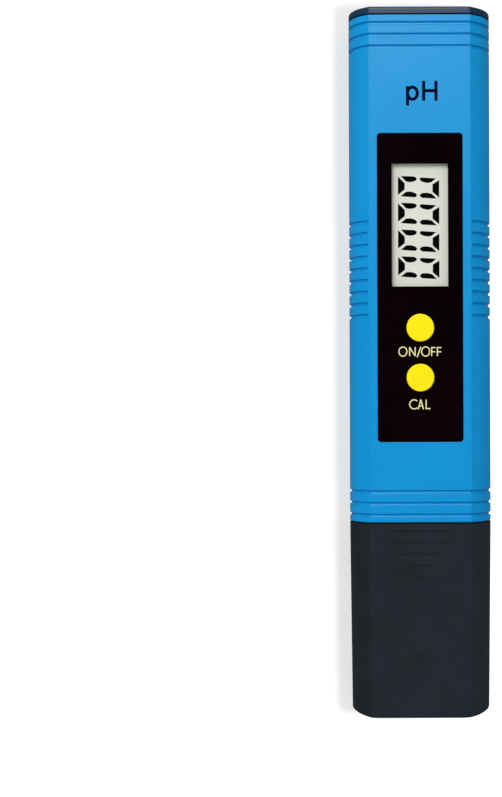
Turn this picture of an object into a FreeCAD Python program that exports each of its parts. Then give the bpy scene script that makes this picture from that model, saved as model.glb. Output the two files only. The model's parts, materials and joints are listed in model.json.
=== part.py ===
import FreeCAD, Part
import Sketcher
import math
import os
from FreeCAD import Placement, Rotation, Vector

# Pocket pH meter: a blue two-shell body with a black display panel, two round
# keys, a plug-in battery cap on top and a pull-off cap over the electrode.
# Frame in millimetres: X across the width, -Y out of the display face (front),
# +Y to the rear, +Z up along the body.  The origin is the centre of the closed
# electrode cap's end face.  "Forward of centre" is a distance along -Y.

doc = FreeCAD.newDocument("ph_meter")

# ---------------------------------------------------------------- dimensions
TABLE = [
    # alias, value, what it is
    ("total_len", 155.0, "overall length with both caps on"),
    ("side_half", 15.62, "half of the overall width"),
    ("half_depth", 8.5, "half of the overall depth"),
    ("side_flat", 0.7, "half length of the straight part of the side"),
    ("flank_rad", 8.57, "radius between side and flank"),
    ("flank_sin", 0.6428, "sine of the 40 degree flank slope"),
    ("flank_cos", 0.7660, "cosine of the flank slope"),
    ("flank_cot", 1.1918, "cotangent of the flank slope"),
    ("flank_tanh", 0.3640, "tangent of half the flank slope"),
    ("crease_rad", 0.5, "rounding between face and flank"),
    ("wall", 1.5, "shell wall"),
    ("body_bot", 42.68, "lower rim of the shells"),
    ("body_top", 153.2, "upper rim of the shells"),
    ("rim_cham", 0.2, "rim chamfer of the shells"),
    ("seam_cham", 0.12, "chamfer along the parting line"),
    # rings and grips
    ("ring_rad", 0.42, "radius of the ring groove cutter"),
    ("ring_out", 0.0, "cutter centre outside the surface"),
    ("ring_pitch", 2.55, "pitch of the ring grooves"),
    ("ring_count", 3, "ring grooves in each group"),
    ("ring_top", 151.3, "highest ring groove of the upper group"),
    ("ring_low", 49.3, "highest ring groove of the lower group"),
    ("grip_top", 108.05, "highest flank groove"),
    ("grip_pitch", 2.55, "pitch of the flank grooves"),
    ("grip_count", 9, "flank grooves on each side"),
    # display panel
    ("panel_w", 18.66, "panel recess width"),
    ("panel_z0", 60.18, "panel recess lower edge"),
    ("panel_z1", 127.4, "panel recess upper edge"),
    ("panel_cr", 0.8, "panel corner radius"),
    ("panel_deep", 0.9, "panel recess depth"),
    ("panel_gap", 0.06, "panel clearance in its recess"),
    ("panel_low", 0.05, "panel face below the shell face"),
    ("panel_thk", 0.83, "panel thickness"),
    ("view_w", 12.25, "visible display width"),
    ("view_len", 26.8, "visible display height"),
    ("view_z", 107.43, "display centre height"),
    ("back_y", 6.2, "rear face of the thickened front wall, forward of centre"),
    ("lcd_hole_w", 16.8, "opening for the display in the front shell"),
    ("lcd_hole_len", 32.4, "opening height"),
    ("key_rad", 3.01, "key radius"),
    ("key_hole", 3.10, "key hole radius"),
    ("key_flange", 3.95, "key flange radius"),
    ("key_on_z", 85.06, "height of the on/off key"),
    ("key_cal_z", 74.2, "height of the calibration key"),
    ("key_front", 8.68, "key face, forward of centre"),
    ("key_back", 5.5, "key flange rear, forward of centre"),
    ("key_seat", 6.15, "key flange front, forward of centre"),
    # circuit board
    ("pcb_w", 20.8, "board width"),
    ("pcb_z0", 63.3, "board lower end"),
    ("pcb_z1", 130.3, "board upper end"),
    ("pcb_front", 2.4, "board front face, forward of centre"),
    ("pcb_thk", 1.6, "board thickness"),
    ("post_x", 8.2, "board screw spacing from the middle"),
    ("post_z0", 67.0, "lower board screws"),
    ("post_z1", 127.6, "upper board screws"),
    ("post_rad", 1.9, "board post radius"),
    ("boss_x", 8.6, "case screw spacing from the middle"),
    ("boss_z0", 60.7, "lower case screws"),
    ("boss_z1", 132.6, "upper case screws"),
    ("boss_rad", 2.1, "front boss radius"),
    ("boss_rear", 2.9, "rear boss radius"),
    ("head_rad", 1.9, "case screw head radius"),
    ("cbore_rad", 2.15, "case screw counterbore radius"),
    ("cbore_deep", 2.3, "case screw counterbore depth"),
    ("shank_rad", 0.98, "case screw shank radius"),
    ("pilot_rad", 1.0, "pilot hole radius"),
    ("clear_rad", 1.15, "clearance hole radius"),
    # battery end
    ("plate_z0", 153.43, "underside of the battery cap plate"),
    ("plate_off", 0.02, "battery cap plate inset from the shell outline"),
    ("plate_round", 0.6, "battery cap top edge rounding"),
    ("plug_off", 1.6, "battery plug inset from the shell outline"),
    ("plug_z0", 148.3, "lower end of the battery plug"),
    ("cap_groove_z", 151.6, "top of the battery plug's seal groove"),
    ("cap_groove_len", 1.3, "height of the battery plug's seal groove"),
    ("cell_rad", 5.8, "button cell radius"),
    ("cell_thk", 5.4, "button cell height"),
    ("cell_x", 6.3, "cell centre from the middle"),
    ("cell_z", 142.0, "cell centre height"),
    ("cell_front", 2.6, "cell face, forward of centre"),
    ("tray_half", 12.9, "battery tray half width"),
    ("tray_z0", 135.7, "battery tray lower end"),
    ("tray_rear", 4.0, "battery tray rear face, behind centre"),
    # electrode end
    ("nose_fix", 1.6, "electrode housing inset where it sits in the shells"),
    ("nose_top", 57.6, "electrode housing upper end"),
    ("nose_off", 2.1, "collar inset"),
    ("nose_step", 29.0, "height where the collar steps in"),
    ("nose_tip", 9.0, "lower end of the electrode housing"),
    ("tip_round", 1.2, "rounding of the electrode housing's lower end"),
    ("nose_in", 3.3, "inset of the lower part"),
    ("nose_groove_z", 37.0, "top of the collar's seal groove"),
    ("nose_groove_len", 1.6, "height of the collar's seal groove"),
    ("well_top", 26.0, "ceiling of the electrode well"),
    ("well_half", 9.0, "half width of the well"),
    ("well_rad", 4.2, "end radius of the well"),
    ("tube_x", -2.0, "glass electrode offset"),
    ("tube_rad", 3.4, "glass tube outer radius"),
    ("tube_in", 2.75, "glass tube inner radius"),
    ("bulb_rad", 4.0, "bulb outer radius"),
    ("bulb_in", 3.65, "bulb inner radius"),
    ("bulb_z", 14.6, "bulb centre height"),
    ("tube_top", 52.0, "glass tube upper end"),
    ("probe_x", 5.7, "temperature probe offset"),
    ("probe_rad", 1.25, "temperature probe radius"),
    # electrode cap
    ("cap_top", 42.42, "open rim of the electrode cap"),
    ("cap_off_t", 0.0, "cap outline inset at its rim"),
    ("cap_off_b", 0.45, "cap outline inset at its end"),
    ("cap_in", 1.95, "cap bore inset"),
    ("cap_floor", 2.0, "cap end wall"),
    ("cap_round", 0.7, "cap end rounding"),
    ("cap_crease", 1.2, "rounding of the creases at the cap's end"),
    ("crown_x", 9.0, "half width of the flat middle of the cap's end"),
    ("crown_x1", 16.5, "outer end of the crowned corner cut"),
    ("crown_rad", 18.0, "radius of the crowned corners"),
    ("cap_pitch", 2.51, "pitch of the cap finger lines"),
    ("cap_line_z", 40.6, "highest finger line"),
    ("line_rad", 0.45, "finger line cutter radius"),
]

sheet = doc.addObject("Spreadsheet::Sheet", "Params")
for row, (alias, value, words) in enumerate(TABLE, start=1):
    sheet.set("A%d" % row, words)
    sheet.set("B%d" % row, repr(value))
    sheet.setAlias("B%d" % row, alias)
doc.recompute()


class Size:
    """A size that carries both its number and the expression that gives it."""

    def __init__(self, value, text, bound=True):
        self.value, self.text, self.bound = float(value), text, bound

    def _join(self, other, value, sign):
        text = "(%s %s %s)" % (self.text, sign, other.text)
        return Size(value, text, self.bound or other.bound)

    def __add__(self, other):
        other = as_size(other)
        return self._join(other, self.value + other.value, "+")

    def __radd__(self, other):
        return as_size(other) + self

    def __sub__(self, other):
        other = as_size(other)
        return self._join(other, self.value - other.value, "-")

    def __rsub__(self, other):
        return as_size(other) - self

    def __mul__(self, other):
        other = as_size(other)
        return self._join(other, self.value * other.value, "*")

    def __rmul__(self, other):
        return as_size(other) * self

    def __truediv__(self, other):
        other = as_size(other)
        return self._join(other, self.value / other.value, "/")

    def __neg__(self):
        return Size(-self.value, "(0 - %s)" % self.text, self.bound)

    def sqrt(self):
        return Size(math.sqrt(self.value), "sqrt(%s)" % self.text, self.bound)


def as_size(x):
    if isinstance(x, Size):
        return x
    if x < 0:
        return Size(x, "(0 - %r)" % -float(x), False)
    return Size(x, repr(float(x)), False)


class Dimensions:
    """One Size for each alias of the spreadsheet."""


dim = Dimensions()
for alias, value, words in TABLE:
    setattr(dim, alias, Size(value, "Params." + alias))

NODES = []


def node(label, obj):
    """Labels an object and lists it for export."""
    obj.Label = label
    NODES.append((label, obj))


def bind(obj, prop, size):
    size = as_size(size)
    if size.bound:
        obj.setExpression(prop, size.text)


def place(obj, x, y, z, rotation=Rotation()):
    x, y, z = as_size(x), as_size(y), as_size(z)
    obj.Placement = Placement(Vector(x.value, y.value, z.value), rotation)
    for axis, size in (("x", x), ("y", y), ("z", z)):
        bind(obj, "Placement.Base." + axis, size)


# ---------------------------------------------------------------- part design
def new_body(name):
    return doc.addObject("PartDesign::Body", name)


def origin_part(body, role):
    return [part for part in body.Origin.OriginFeatures if part.Role == role][0]


def volume(body):
    return body.Shape.Volume if body.Tip and not body.Shape.isNull() else 0.0


def verify(body, name, before, grows):
    """Recomputes and makes sure that the last feature did change the solid."""
    doc.recompute()
    now = volume(body)
    if (grows and now <= before + 1e-4) or (not grows and now >= before - 1e-4):
        raise RuntimeError(
            "%s of %s changed nothing: %.4f to %.4f" % (name, body.Name, before, now)
        )


class Pen:
    """Draws a fully constrained sketch on one of the body's own planes and
    turns it into a feature.  XY looks along +Z.  XZ has its normal along -Y,
    so an offset of 8.5 lies on the front face.  YZ has its normal along +X."""

    def __init__(self, body, name, plane, offset=0):
        self.body = body
        self.sketch = body.newObject("Sketcher::SketchObject", name)
        self.sketch.AttachmentSupport = [(origin_part(body, plane + "_Plane"), "")]
        self.sketch.MapMode = "FlatFace"
        offset = as_size(offset)
        self.sketch.AttachmentOffset = Placement(Vector(0, 0, offset.value), Rotation())
        bind(self.sketch, "AttachmentOffset.Base.z", offset)
        self.geometry, self.constraints, self.bound = [], [], []

    def measure(self, constraint, size):
        self.constraints.append(constraint)
        if size.bound:
            self.bound.append((len(self.constraints) - 1, size.text))

    def pin(self, index, pos, x, y):
        """Fixes a point; the dimension is kept positive on either side."""
        for size, kind, axis in ((x, "DistanceX", -2), (y, "DistanceY", -1)):
            if abs(size.value) < 1e-9:
                self.constraints.append(
                    Sketcher.Constraint("PointOnObject", index, pos, axis)
                )
            elif size.value > 0:
                self.measure(
                    Sketcher.Constraint(kind, -1, 1, index, pos, size.value), size
                )
            else:
                self.measure(
                    Sketcher.Constraint(kind, index, pos, -1, 1, -size.value), -size
                )

    def circle(self, x, y, radius):
        x, y, radius = as_size(x), as_size(y), as_size(radius)
        index = len(self.geometry)
        centre = Vector(x.value, y.value, 0)
        self.geometry.append(Part.Circle(centre, Vector(0, 0, 1), radius.value))
        self.measure(Sketcher.Constraint("Radius", index, radius.value), radius)
        self.pin(index, 3, x, y)
        return self

    def circles(self, centres, radius):
        for x, y in centres:
            self.circle(x, y, radius)
        return self

    def loop(self, points, arcs=None, closed=True):
        """points: (x, y) each.  arcs: {i: (radius, turn)} makes the segment from
        point i to i+1 an arc, with turn +1 counter-clockwise, -1 clockwise."""
        arcs = arcs or {}
        points = [(as_size(x), as_size(y)) for x, y in points]
        vectors = [Vector(x.value, y.value, 0) for x, y in points]
        count = len(points) if closed else len(points) - 1
        ends = []
        for i in range(count):
            start, end = vectors[i], vectors[(i + 1) % len(points)]
            index = len(self.geometry)
            if i not in arcs:
                self.geometry.append(Part.LineSegment(start, end))
                ends.append((index, 1, 2))
                continue
            radius, turn = as_size(arcs[i][0]), arcs[i][1]
            chord = end - start
            half = chord.Length / 2
            rise = math.sqrt(max(radius.value * radius.value - half * half, 0.0))
            left = Vector(-chord.y, chord.x, 0).normalize()
            centre = (start + end) * 0.5 + left * (rise * turn)
            angle0 = math.atan2(start.y - centre.y, start.x - centre.x)
            angle1 = math.atan2(end.y - centre.y, end.x - centre.x)
            circle = Part.Circle(centre, Vector(0, 0, 1), radius.value)
            # sketch arcs always run counter-clockwise
            if turn > 0:
                self.geometry.append(Part.ArcOfCircle(circle, angle0, angle1))
                ends.append((index, 1, 2))
            else:
                self.geometry.append(Part.ArcOfCircle(circle, angle1, angle0))
                ends.append((index, 2, 1))
            self.measure(Sketcher.Constraint("Radius", index, radius.value), radius)
        for i, (index, start, end) in enumerate(ends):
            self.pin(index, start, *points[i])
            if i + 1 < count or closed:
                following, following_start, _ = ends[(i + 1) % count]
                self.constraints.append(Sketcher.Constraint(
                    "Coincident", index, end, following, following_start))
            else:
                self.pin(index, end, *points[-1])
        return self

    def rect(self, x0, y0, x1, y1, r=None):
        """A rectangle, with its corners rounded to r if that is given."""
        if r is None:
            return self.loop([(x0, y0), (x1, y0), (x1, y1), (x0, y1)])
        x0, y0, x1, y1 = as_size(x0), as_size(y0), as_size(x1), as_size(y1)
        points = [
            (x0 + r, y0), (x1 - r, y0), (x1, y0 + r), (x1, y1 - r),
            (x1 - r, y1), (x0 + r, y1), (x0, y1 - r), (x0, y0 + r),
        ]
        return self.loop(points, {i: (r, 1) for i in (1, 3, 5, 7)})

    def window(self, mid_y, half_w, half_len):
        """A rectangle centred on x = 0."""
        return self.rect(-half_w, mid_y - half_len, half_w, mid_y + half_len)

    def done(self):
        """Writes the collected geometry and constraints to the sketch."""
        self.sketch.addGeometry(self.geometry, False)
        self.sketch.addConstraint(self.constraints)
        for i, text in self.bound:
            self.sketch.setExpression("Constraints[%d]" % i, text)
        return self.sketch

    def _extrude(self, kind, suffix, length, backwards, grows):
        profile = self.done()
        before = volume(self.body)
        made = self.body.newObject(kind, profile.Name + suffix)
        made.Profile = profile
        if length is None:
            made.Type = "ThroughAll"
        else:
            made.Length = as_size(length).value
            bind(made, "Length", length)
        made.Reversed = backwards
        verify(self.body, made.Name, before, grows)

    def pad(self, length, backwards=False):
        """Adds along the sketch normal, or against it if backwards."""
        self._extrude("PartDesign::Pad", "_pad", length, backwards, True)

    def pocket(self, length=None, backwards=False):
        """Cuts against the sketch normal, or along it if backwards; right
        through without a length."""
        self._extrude("PartDesign::Pocket", "_cut", length, backwards, False)

    def revolve(self):
        """Turns the profile about the sketch's vertical axis."""
        profile = self.done()
        before = volume(self.body)
        made = self.body.newObject("PartDesign::Revolution", profile.Name + "_rev")
        made.Profile = profile
        made.ReferenceAxis = (profile, ["V_Axis"])
        made.Angle = 360
        verify(self.body, made.Name, before, True)


def dress(body, kind, wanted, size, name):
    """A fillet or chamfer on the tip's edges that satisfy the test."""
    tip = body.Tip
    found = ["Edge%d" % (i + 1) for i, edge in enumerate(tip.Shape.Edges) if wanted(edge)]
    if not found:
        raise RuntimeError("no edges for %s" % name)
    before = volume(body)
    made = body.newObject("PartDesign::" + kind, name)
    made.Base = (tip, found)
    prop = "Radius" if kind == "Fillet" else "Size"
    setattr(made, prop, as_size(size).value)
    bind(made, prop, size)
    doc.recompute()
    if abs(volume(body) - before) < 1e-6:
        raise RuntimeError("%s changed nothing" % name)


def ends_of(edge):
    return [vertex.Point for vertex in edge.Vertexes]


def at_height(z):
    """An edge test: both ends at height z."""
    return lambda edge: all(abs(point.z - z.value) < 1e-6 for point in ends_of(edge))


# ---------------------------------------------------------------- plain solids
def box(name, x0, x1, y0, y1, z0, z1):
    made = doc.addObject("Part::Box", name)
    x0, x1, y0, y1, z0, z1 = (as_size(size) for size in (x0, x1, y0, y1, z0, z1))
    for prop, size in (("Length", x1 - x0), ("Width", y1 - y0), ("Height", z1 - z0)):
        setattr(made, prop, size.value)
        bind(made, prop, size)
    place(made, x0, y0, z0)
    return made


TURN_TO = {
    "z": Rotation(),
    "y": Rotation(Vector(1, 0, 0), -90),
    "x": Rotation(Vector(0, 1, 0), 90),
}
HALF_TURN = Rotation(Vector(0, 0, 1), 180)


def rod(name, x, y, z, radius, length, along="z"):
    """A cylinder that starts at (x, y, z) and runs towards +X, +Y or +Z."""
    made = doc.addObject("Part::Cylinder", name)
    radius, length = as_size(radius), as_size(length)
    made.Radius, made.Height = radius.value, length.value
    bind(made, "Radius", radius)
    bind(made, "Height", length)
    place(made, x, y, z, TURN_TO[along])
    return made


def fuse(name, shapes):
    made = doc.addObject("Part::MultiFuse", name)
    made.Shapes = shapes
    return made


def group(name, links):
    made = doc.addObject("Part::Compound", name)
    made.Links = links
    return made


# ------------------------------------------------------------------- outline
def quadrant(inset, crease=None):
    """Corners of the outline for x, y > 0, from the side to the face.  The
    crease between flank and face is sharp, or two points if it is rounded."""
    centre_x = dim.side_half - dim.flank_rad
    radius = dim.flank_rad - inset
    side = (dim.side_half - inset, dim.side_flat)
    flank = (centre_x + radius * dim.flank_sin, dim.side_flat + radius * dim.flank_cos)
    face_end = (centre_x + dim.flank_rad * dim.flank_sin) - (
        dim.half_depth - (dim.side_flat + dim.flank_rad * dim.flank_cos)
    ) * dim.flank_cot
    x, y = face_end - dim.flank_tanh * inset, dim.half_depth - inset
    if crease is None:
        return [side, flank, (x, y)]
    tangent = crease * dim.flank_tanh
    return [
        side, flank,
        (x + tangent * dim.flank_cos, y - tangent * dim.flank_sin), (x - tangent, y),
    ]


def outline(inset, part="full", crease=None):
    """Points and arcs of the eight-sided outline, moved in by the inset.  It
    runs clockwise from the right side over the front.  The "front" and "back"
    halves stop on the parting plane, y = 0.  crease rounds the creases."""
    quad = quadrant(inset, crease)
    count = len(quad)
    side_x = quad[0][0]
    front = [(x, -y) for x, y in quad] + [(-x, -y) for x, y in reversed(quad)]
    back = [(-x, y) for x, y in quad] + [(x, y) for x, y in reversed(quad)]
    radius = dim.flank_rad - inset
    arcs = {0: (radius, -1), 2 * count - 2: (radius, -1)}
    if crease is not None:
        arcs[2] = arcs[2 * count - 4] = (crease, -1)

    def moved(step):
        return {i + step: arc for i, arc in arcs.items()}

    if part == "front":
        return [(side_x, 0)] + front + [(-side_x, 0)], moved(1)
    if part == "back":
        return [(-side_x, 0)] + back + [(side_x, 0)], moved(1)
    return front + back, {**arcs, **moved(2 * count)}


def outline_pen(body, name, z, inset, part="full", crease=None):
    return Pen(body, name, "XY", z).loop(*outline(inset, part, crease))


# -------------------------------------------------------------- shell casing
SEAM_OVERRUN = 0.4      # groove cutters start this far past the parting plane
GRIP_PAST_CREASE = 0.45  # from the crease to the end of a grip groove, down the flank
BOSS_ROOT = 7.2         # bosses and posts start this far from centre, in the wall
BOSS_GAP = 0.05         # front bosses stop this far short of the parting plane
PANEL_CUT = 2.6         # depth of the openings, from the shell face
BACKING_HALF_W = 9.6
BACKING_Z0 = 58.6
BACKING_ABOVE = 1.5     # backing above the panel recess
BACKING_THK = 1.0
BOSS_PILOT_DEEP = 6.2
POST_PILOT_RAD = 0.9
POST_PILOT_DEEP = 3.4
BOSS_HOLE_DEEP = 8.6

CASE_SCREWS = [(side * dim.boss_x, z) for side in (-1, 1) for z in (dim.boss_z0, dim.boss_z1)]
BOARD_SCREWS = [(side * dim.post_x, z) for side in (-1, 1) for z in (dim.post_z0, dim.post_z1)]
KEYS = [(0, dim.key_on_z), (0, dim.key_cal_z)]


def groove_row(body, name, path, profile, count, pitch, corner=None):
    """Sweeps one groove and repeats it downwards."""
    before = volume(body)
    pipe = body.newObject("PartDesign::SubtractivePipe", name)
    pipe.Profile = profile
    pipe.Spine = (path, [])
    if corner:
        pipe.Transition = corner
    verify(body, pipe.Name, before, False)
    before = volume(body)
    pattern = body.newObject("PartDesign::LinearPattern", name + "s")
    pattern.Originals = [pipe]
    pattern.Direction = (origin_part(body, "Z_Axis"), [""])
    pattern.Reversed = True
    length = (count - 1) * pitch
    pattern.Occurrences = int(count.value)
    pattern.Length = length.value
    bind(pattern, "Occurrences", count)
    bind(pattern, "Length", length)
    body.Tip = pattern
    verify(body, pattern.Name, before, False)


def cut_rings(body, half, face):
    """Ring grooves round the shell near both rims.  face is the Y direction
    of the shell's face, -1 for the front and +1 for the back."""
    past_seam = -SEAM_OVERRUN * face
    for tag, top in (("upper", dim.ring_top), ("lower", dim.ring_low)):
        name = half + "_" + tag
        points, arcs = outline(0, half, dim.crease_rad)
        start_x = points[0][0]
        points = [(start_x, past_seam)] + points[1:-1] + [(-start_x, past_seam)]
        path = Pen(body, name + "_path", "XY", top).loop(points, arcs, closed=False).done()
        profile = Pen(body, name + "_round", "XZ", -past_seam).circle(
            start_x - dim.ring_out * face, top, dim.ring_rad
        ).done()
        groove_row(body, name + "_ring", path, profile, dim.ring_count, dim.ring_pitch,
                   "Right corner")


def cut_grips(body, half, face):
    """Grip grooves over each flank, from the seam to just short of the crease."""
    past_seam = -SEAM_OVERRUN * face
    (side_x, side_y), (flank_x, flank_y), (crease_x, crease_y) = quadrant(0)
    end_x = crease_x + GRIP_PAST_CREASE * dim.flank_cos
    end_y = crease_y - GRIP_PAST_CREASE * dim.flank_sin
    for hand, sign in (("right", 1), ("left", -1)):
        name = half + "_" + hand + "_grip"
        points = [
            (side_x * sign, past_seam), (side_x * sign, side_y * face),
            (flank_x * sign, flank_y * face), (end_x * sign, end_y * face),
        ]
        arcs = {1: (dim.flank_rad, sign * face)}
        path = Pen(body, name + "_path", "XY", dim.grip_top).loop(
            points, arcs, closed=False).done()
        profile = Pen(body, name + "_round", "XZ", -past_seam).circle(
            (side_x + dim.ring_out) * sign, dim.grip_top, dim.ring_rad
        ).done()
        groove_row(body, name, path, profile, dim.grip_count, dim.grip_pitch)


def shell(name, half, face):
    """A half shell, hollow and open at both ends, with its outside grooves."""

    def on_rim(edge):
        ends = ends_of(edge)
        level = abs(ends[0].z - ends[-1].z) < 1e-6
        at_rim = at_height(dim.body_bot)(edge) or at_height(dim.body_top)(edge)
        return level and at_rim and max(abs(point.y) for point in ends) > 1e-6

    def on_seam(edge):
        ends = ends_of(edge)
        tall = abs(ends[0].z - ends[-1].z) > 50
        return tall and all(abs(point.y) < 1e-6 for point in ends)

    body = new_body(name)
    outline_pen(body, name + "_outline", dim.body_bot, 0, half, dim.crease_rad).pad(
        dim.body_top - dim.body_bot)
    dress(body, "Chamfer", on_rim, dim.rim_cham, name + "_rims")
    dress(body, "Chamfer", on_seam, dim.seam_cham, name + "_seam")
    outline_pen(body, name + "_bore", dim.body_top, dim.wall, half).pocket()
    cut_rings(body, half, face)
    cut_grips(body, half, face)
    return body


def front_shell():
    body = shell("front_shell", "front", -1)
    # thickened wall behind the display panel
    Pen(body, "panel_backing", "XZ", dim.back_y).rect(
        -BACKING_HALF_W, BACKING_Z0, BACKING_HALF_W, dim.panel_z1 + BACKING_ABOVE
    ).pad(BACKING_THK)
    # recess for the panel, opening for the display, holes for the keys
    Pen(body, "panel_recess", "XZ", dim.half_depth).rect(
        -dim.panel_w / 2, dim.panel_z0, dim.panel_w / 2, dim.panel_z1, dim.panel_cr
    ).pocket(dim.panel_deep)
    Pen(body, "display_opening", "XZ", dim.half_depth).window(
        dim.view_z, dim.lcd_hole_w / 2, dim.lcd_hole_len / 2).pocket(PANEL_CUT)
    Pen(body, "key_openings", "XZ", dim.half_depth).circles(
        KEYS, dim.key_hole).pocket(PANEL_CUT)
    # bosses for the case screws and posts for the board screws
    Pen(body, "front_bosses", "XZ", BOSS_ROOT).circles(
        CASE_SCREWS, dim.boss_rad).pad(BOSS_ROOT - BOSS_GAP, backwards=True)
    Pen(body, "board_posts", "XZ", BOSS_ROOT).circles(
        BOARD_SCREWS, dim.post_rad).pad(BOSS_ROOT - dim.pcb_front, backwards=True)
    Pen(body, "boss_pilots", "XZ", BOSS_GAP).circles(
        CASE_SCREWS, dim.pilot_rad).pocket(BOSS_PILOT_DEEP, backwards=True)
    Pen(body, "post_pilots", "XZ", dim.pcb_front).circles(
        BOARD_SCREWS, POST_PILOT_RAD).pocket(POST_PILOT_DEEP, backwards=True)
    node("front_shell", body)


def rear_shell():
    body = shell("rear_shell", "back", 1)
    Pen(body, "rear_bosses", "XZ", -BOSS_ROOT).circles(
        CASE_SCREWS, dim.boss_rear).pad(BOSS_ROOT)
    Pen(body, "counterbores", "XZ", -dim.half_depth).circles(
        CASE_SCREWS, dim.cbore_rad).pocket(dim.cbore_deep, backwards=True)
    Pen(body, "boss_holes", "XZ", -dim.half_depth).circles(
        CASE_SCREWS, dim.clear_rad).pocket(BOSS_HOLE_DEEP, backwards=True)
    node("rear_shell", body)


# ------------------------------------------------------------------- screws
BOARD_REAR = dim.pcb_thk - dim.pcb_front  # Y of the board's rear face


def screw(name, head_rad, head_len, shank_rad, length, cross_reach):
    """A pan-head screw on its own axis, head up, with a cross recess."""
    taper = 1.1
    body = new_body(name)
    Pen(body, name + "_turned", "XZ").loop([
        (0, -length), (shank_rad * 0.35, -length), (shank_rad, -(length - taper)),
        (shank_rad, 0), (head_rad, 0), (head_rad, head_len * 0.45),
        (head_rad * 0.72, head_len), (0, head_len),
    ]).revolve()
    arm, reach = 0.19 * cross_reach, cross_reach
    Pen(body, name + "_cross", "XY", head_len).loop([
        (arm, arm), (arm, reach), (-arm, reach), (-arm, arm),
        (-reach, arm), (-reach, -arm), (-arm, -arm), (-arm, -reach),
        (arm, -reach), (arm, -arm), (reach, -arm), (reach, arm),
    ]).pocket(head_len * 0.7)
    return body


def screw_set(label, master, places, head_y):
    """Identical screws, each its own solid, heads towards +Y."""
    links = []
    for i, (x, z) in enumerate(places):
        link = doc.addObject("App::Link", "%s_%d" % (label, i + 1))
        link.LinkedObject = master
        link.LinkTransform = False
        place(link, x, head_y, z, TURN_TO["y"])
        links.append(link)
    node(label, group(label + "_set", links))


def screws():
    case_screw = screw("case_screw", head_rad=dim.head_rad, head_len=1.3,
                       shank_rad=dim.shank_rad, length=10.6, cross_reach=1.15)
    screw_set("shell_screws", case_screw, CASE_SCREWS, dim.half_depth - dim.cbore_deep)
    board_screw = screw("board_screw", head_rad=1.6, head_len=0.9,
                        shank_rad=0.85, length=4.6, cross_reach=0.95)
    screw_set("pcb_screws", board_screw, BOARD_SCREWS, BOARD_REAR)


# ------------------------------------------------------------- display panel
PANEL_FACE = dim.half_depth - dim.panel_low   # forward of centre
PANEL_BACK = PANEL_FACE - dim.panel_thk       # forward of centre
WINDOW_Y = -PANEL_BACK + 0.02                 # front face of the display window
WINDOW_THK = 0.5

DISPLAY_LAYERS = [
    # label, half width, front Y, rear Y, half height; front to rear
    ("display_window", 8.3, WINDOW_Y, WINDOW_Y + WINDOW_THK, 16.1),
    ("lcd_polarizer", 7.7, -7.08, -6.95, 15.4),
    ("lcd_front_glass", 8.2, -6.95, -6.05, 16),
    ("lcd_rear_glass", 6.4, -6.05, -5.15, 16),
    ("lcd_reflector", 6.2, -5.15, -5.0, 15.4),
]


def panel_overlay():
    body = new_body("panel_overlay")
    gap = dim.panel_gap
    half_w = dim.panel_w / 2 - gap
    Pen(body, "panel_blank", "XZ", PANEL_BACK).rect(
        -half_w, dim.panel_z0 + gap, half_w, dim.panel_z1 - gap, dim.panel_cr - gap
    ).pad(dim.panel_thk)
    Pen(body, "panel_window", "XZ", PANEL_FACE).window(
        dim.view_z, dim.view_w / 2, dim.view_len / 2
    ).circles(KEYS, dim.key_hole).pocket()
    node("panel_overlay", body)


def display_layers():
    for label, half_w, y0, y1, half_len in DISPLAY_LAYERS:
        node(label, box(
            label, -half_w, half_w, y0, y1, dim.view_z - half_len, dim.view_z + half_len))


def lcd_frame():
    outer_half_w, outer_half_len = 9.4, 17.5
    inner_half_w, inner_half_len = 8.25, 16.05
    board_gap, depth = 0.02, 3.7
    body = new_body("lcd_frame")
    Pen(body, "frame_ring", "XZ", dim.pcb_front + board_gap).window(
        dim.view_z, outer_half_w, outer_half_len
    ).window(dim.view_z, inner_half_w, inner_half_len).pad(depth)
    node("lcd_frame", body)


def zebra_strips():
    """Two strips between the front glass and the board, left and right."""
    inner_x, outer_x, front_y, half_len = 6.55, 8.1, -6.04, 15
    strips = [
        box("zebra_%d" % i, x0, x1, front_y, -dim.pcb_front,
            dim.view_z - half_len, dim.view_z + half_len)
        for i, (x0, x1) in enumerate(((-outer_x, -inner_x), (inner_x, outer_x)))
    ]
    node("zebra_strips", group("zebra_pair", strips))


# ------------------------------------------------------------- circuit board
PASSIVE_THK = 0.7
PASSIVES = [
    # centre x, centre z, width, height
    (-7.2, 110.0, 1.2, 2.0), (-7.2, 106.0, 1.2, 2.0), (-7.2, 102.0, 1.2, 2.0),
    (-7.2, 98.0, 1.2, 2.0), (4.5, 76.0, 2.0, 1.2), (4.5, 79.0, 2.0, 1.2),
    (4.5, 82.0, 2.0, 1.2), (-6.6, 86.0, 3.2, 1.6), (2.2, 118.0, 2.0, 1.2),
    (-2.2, 118.0, 2.0, 1.2),
]


def circuit_board():
    corner_rad, hole_rad = 1.2, 1.1
    body = new_body("pcb")
    Pen(body, "board_outline", "XZ", dim.pcb_front - dim.pcb_thk).rect(
        -dim.pcb_w / 2, dim.pcb_z0, dim.pcb_w / 2, dim.pcb_z1, corner_rad
    ).pad(dim.pcb_thk)
    Pen(body, "board_holes", "XZ", dim.pcb_front).circles(BOARD_SCREWS, hole_rad).pocket()
    node("pcb", body)


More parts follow.
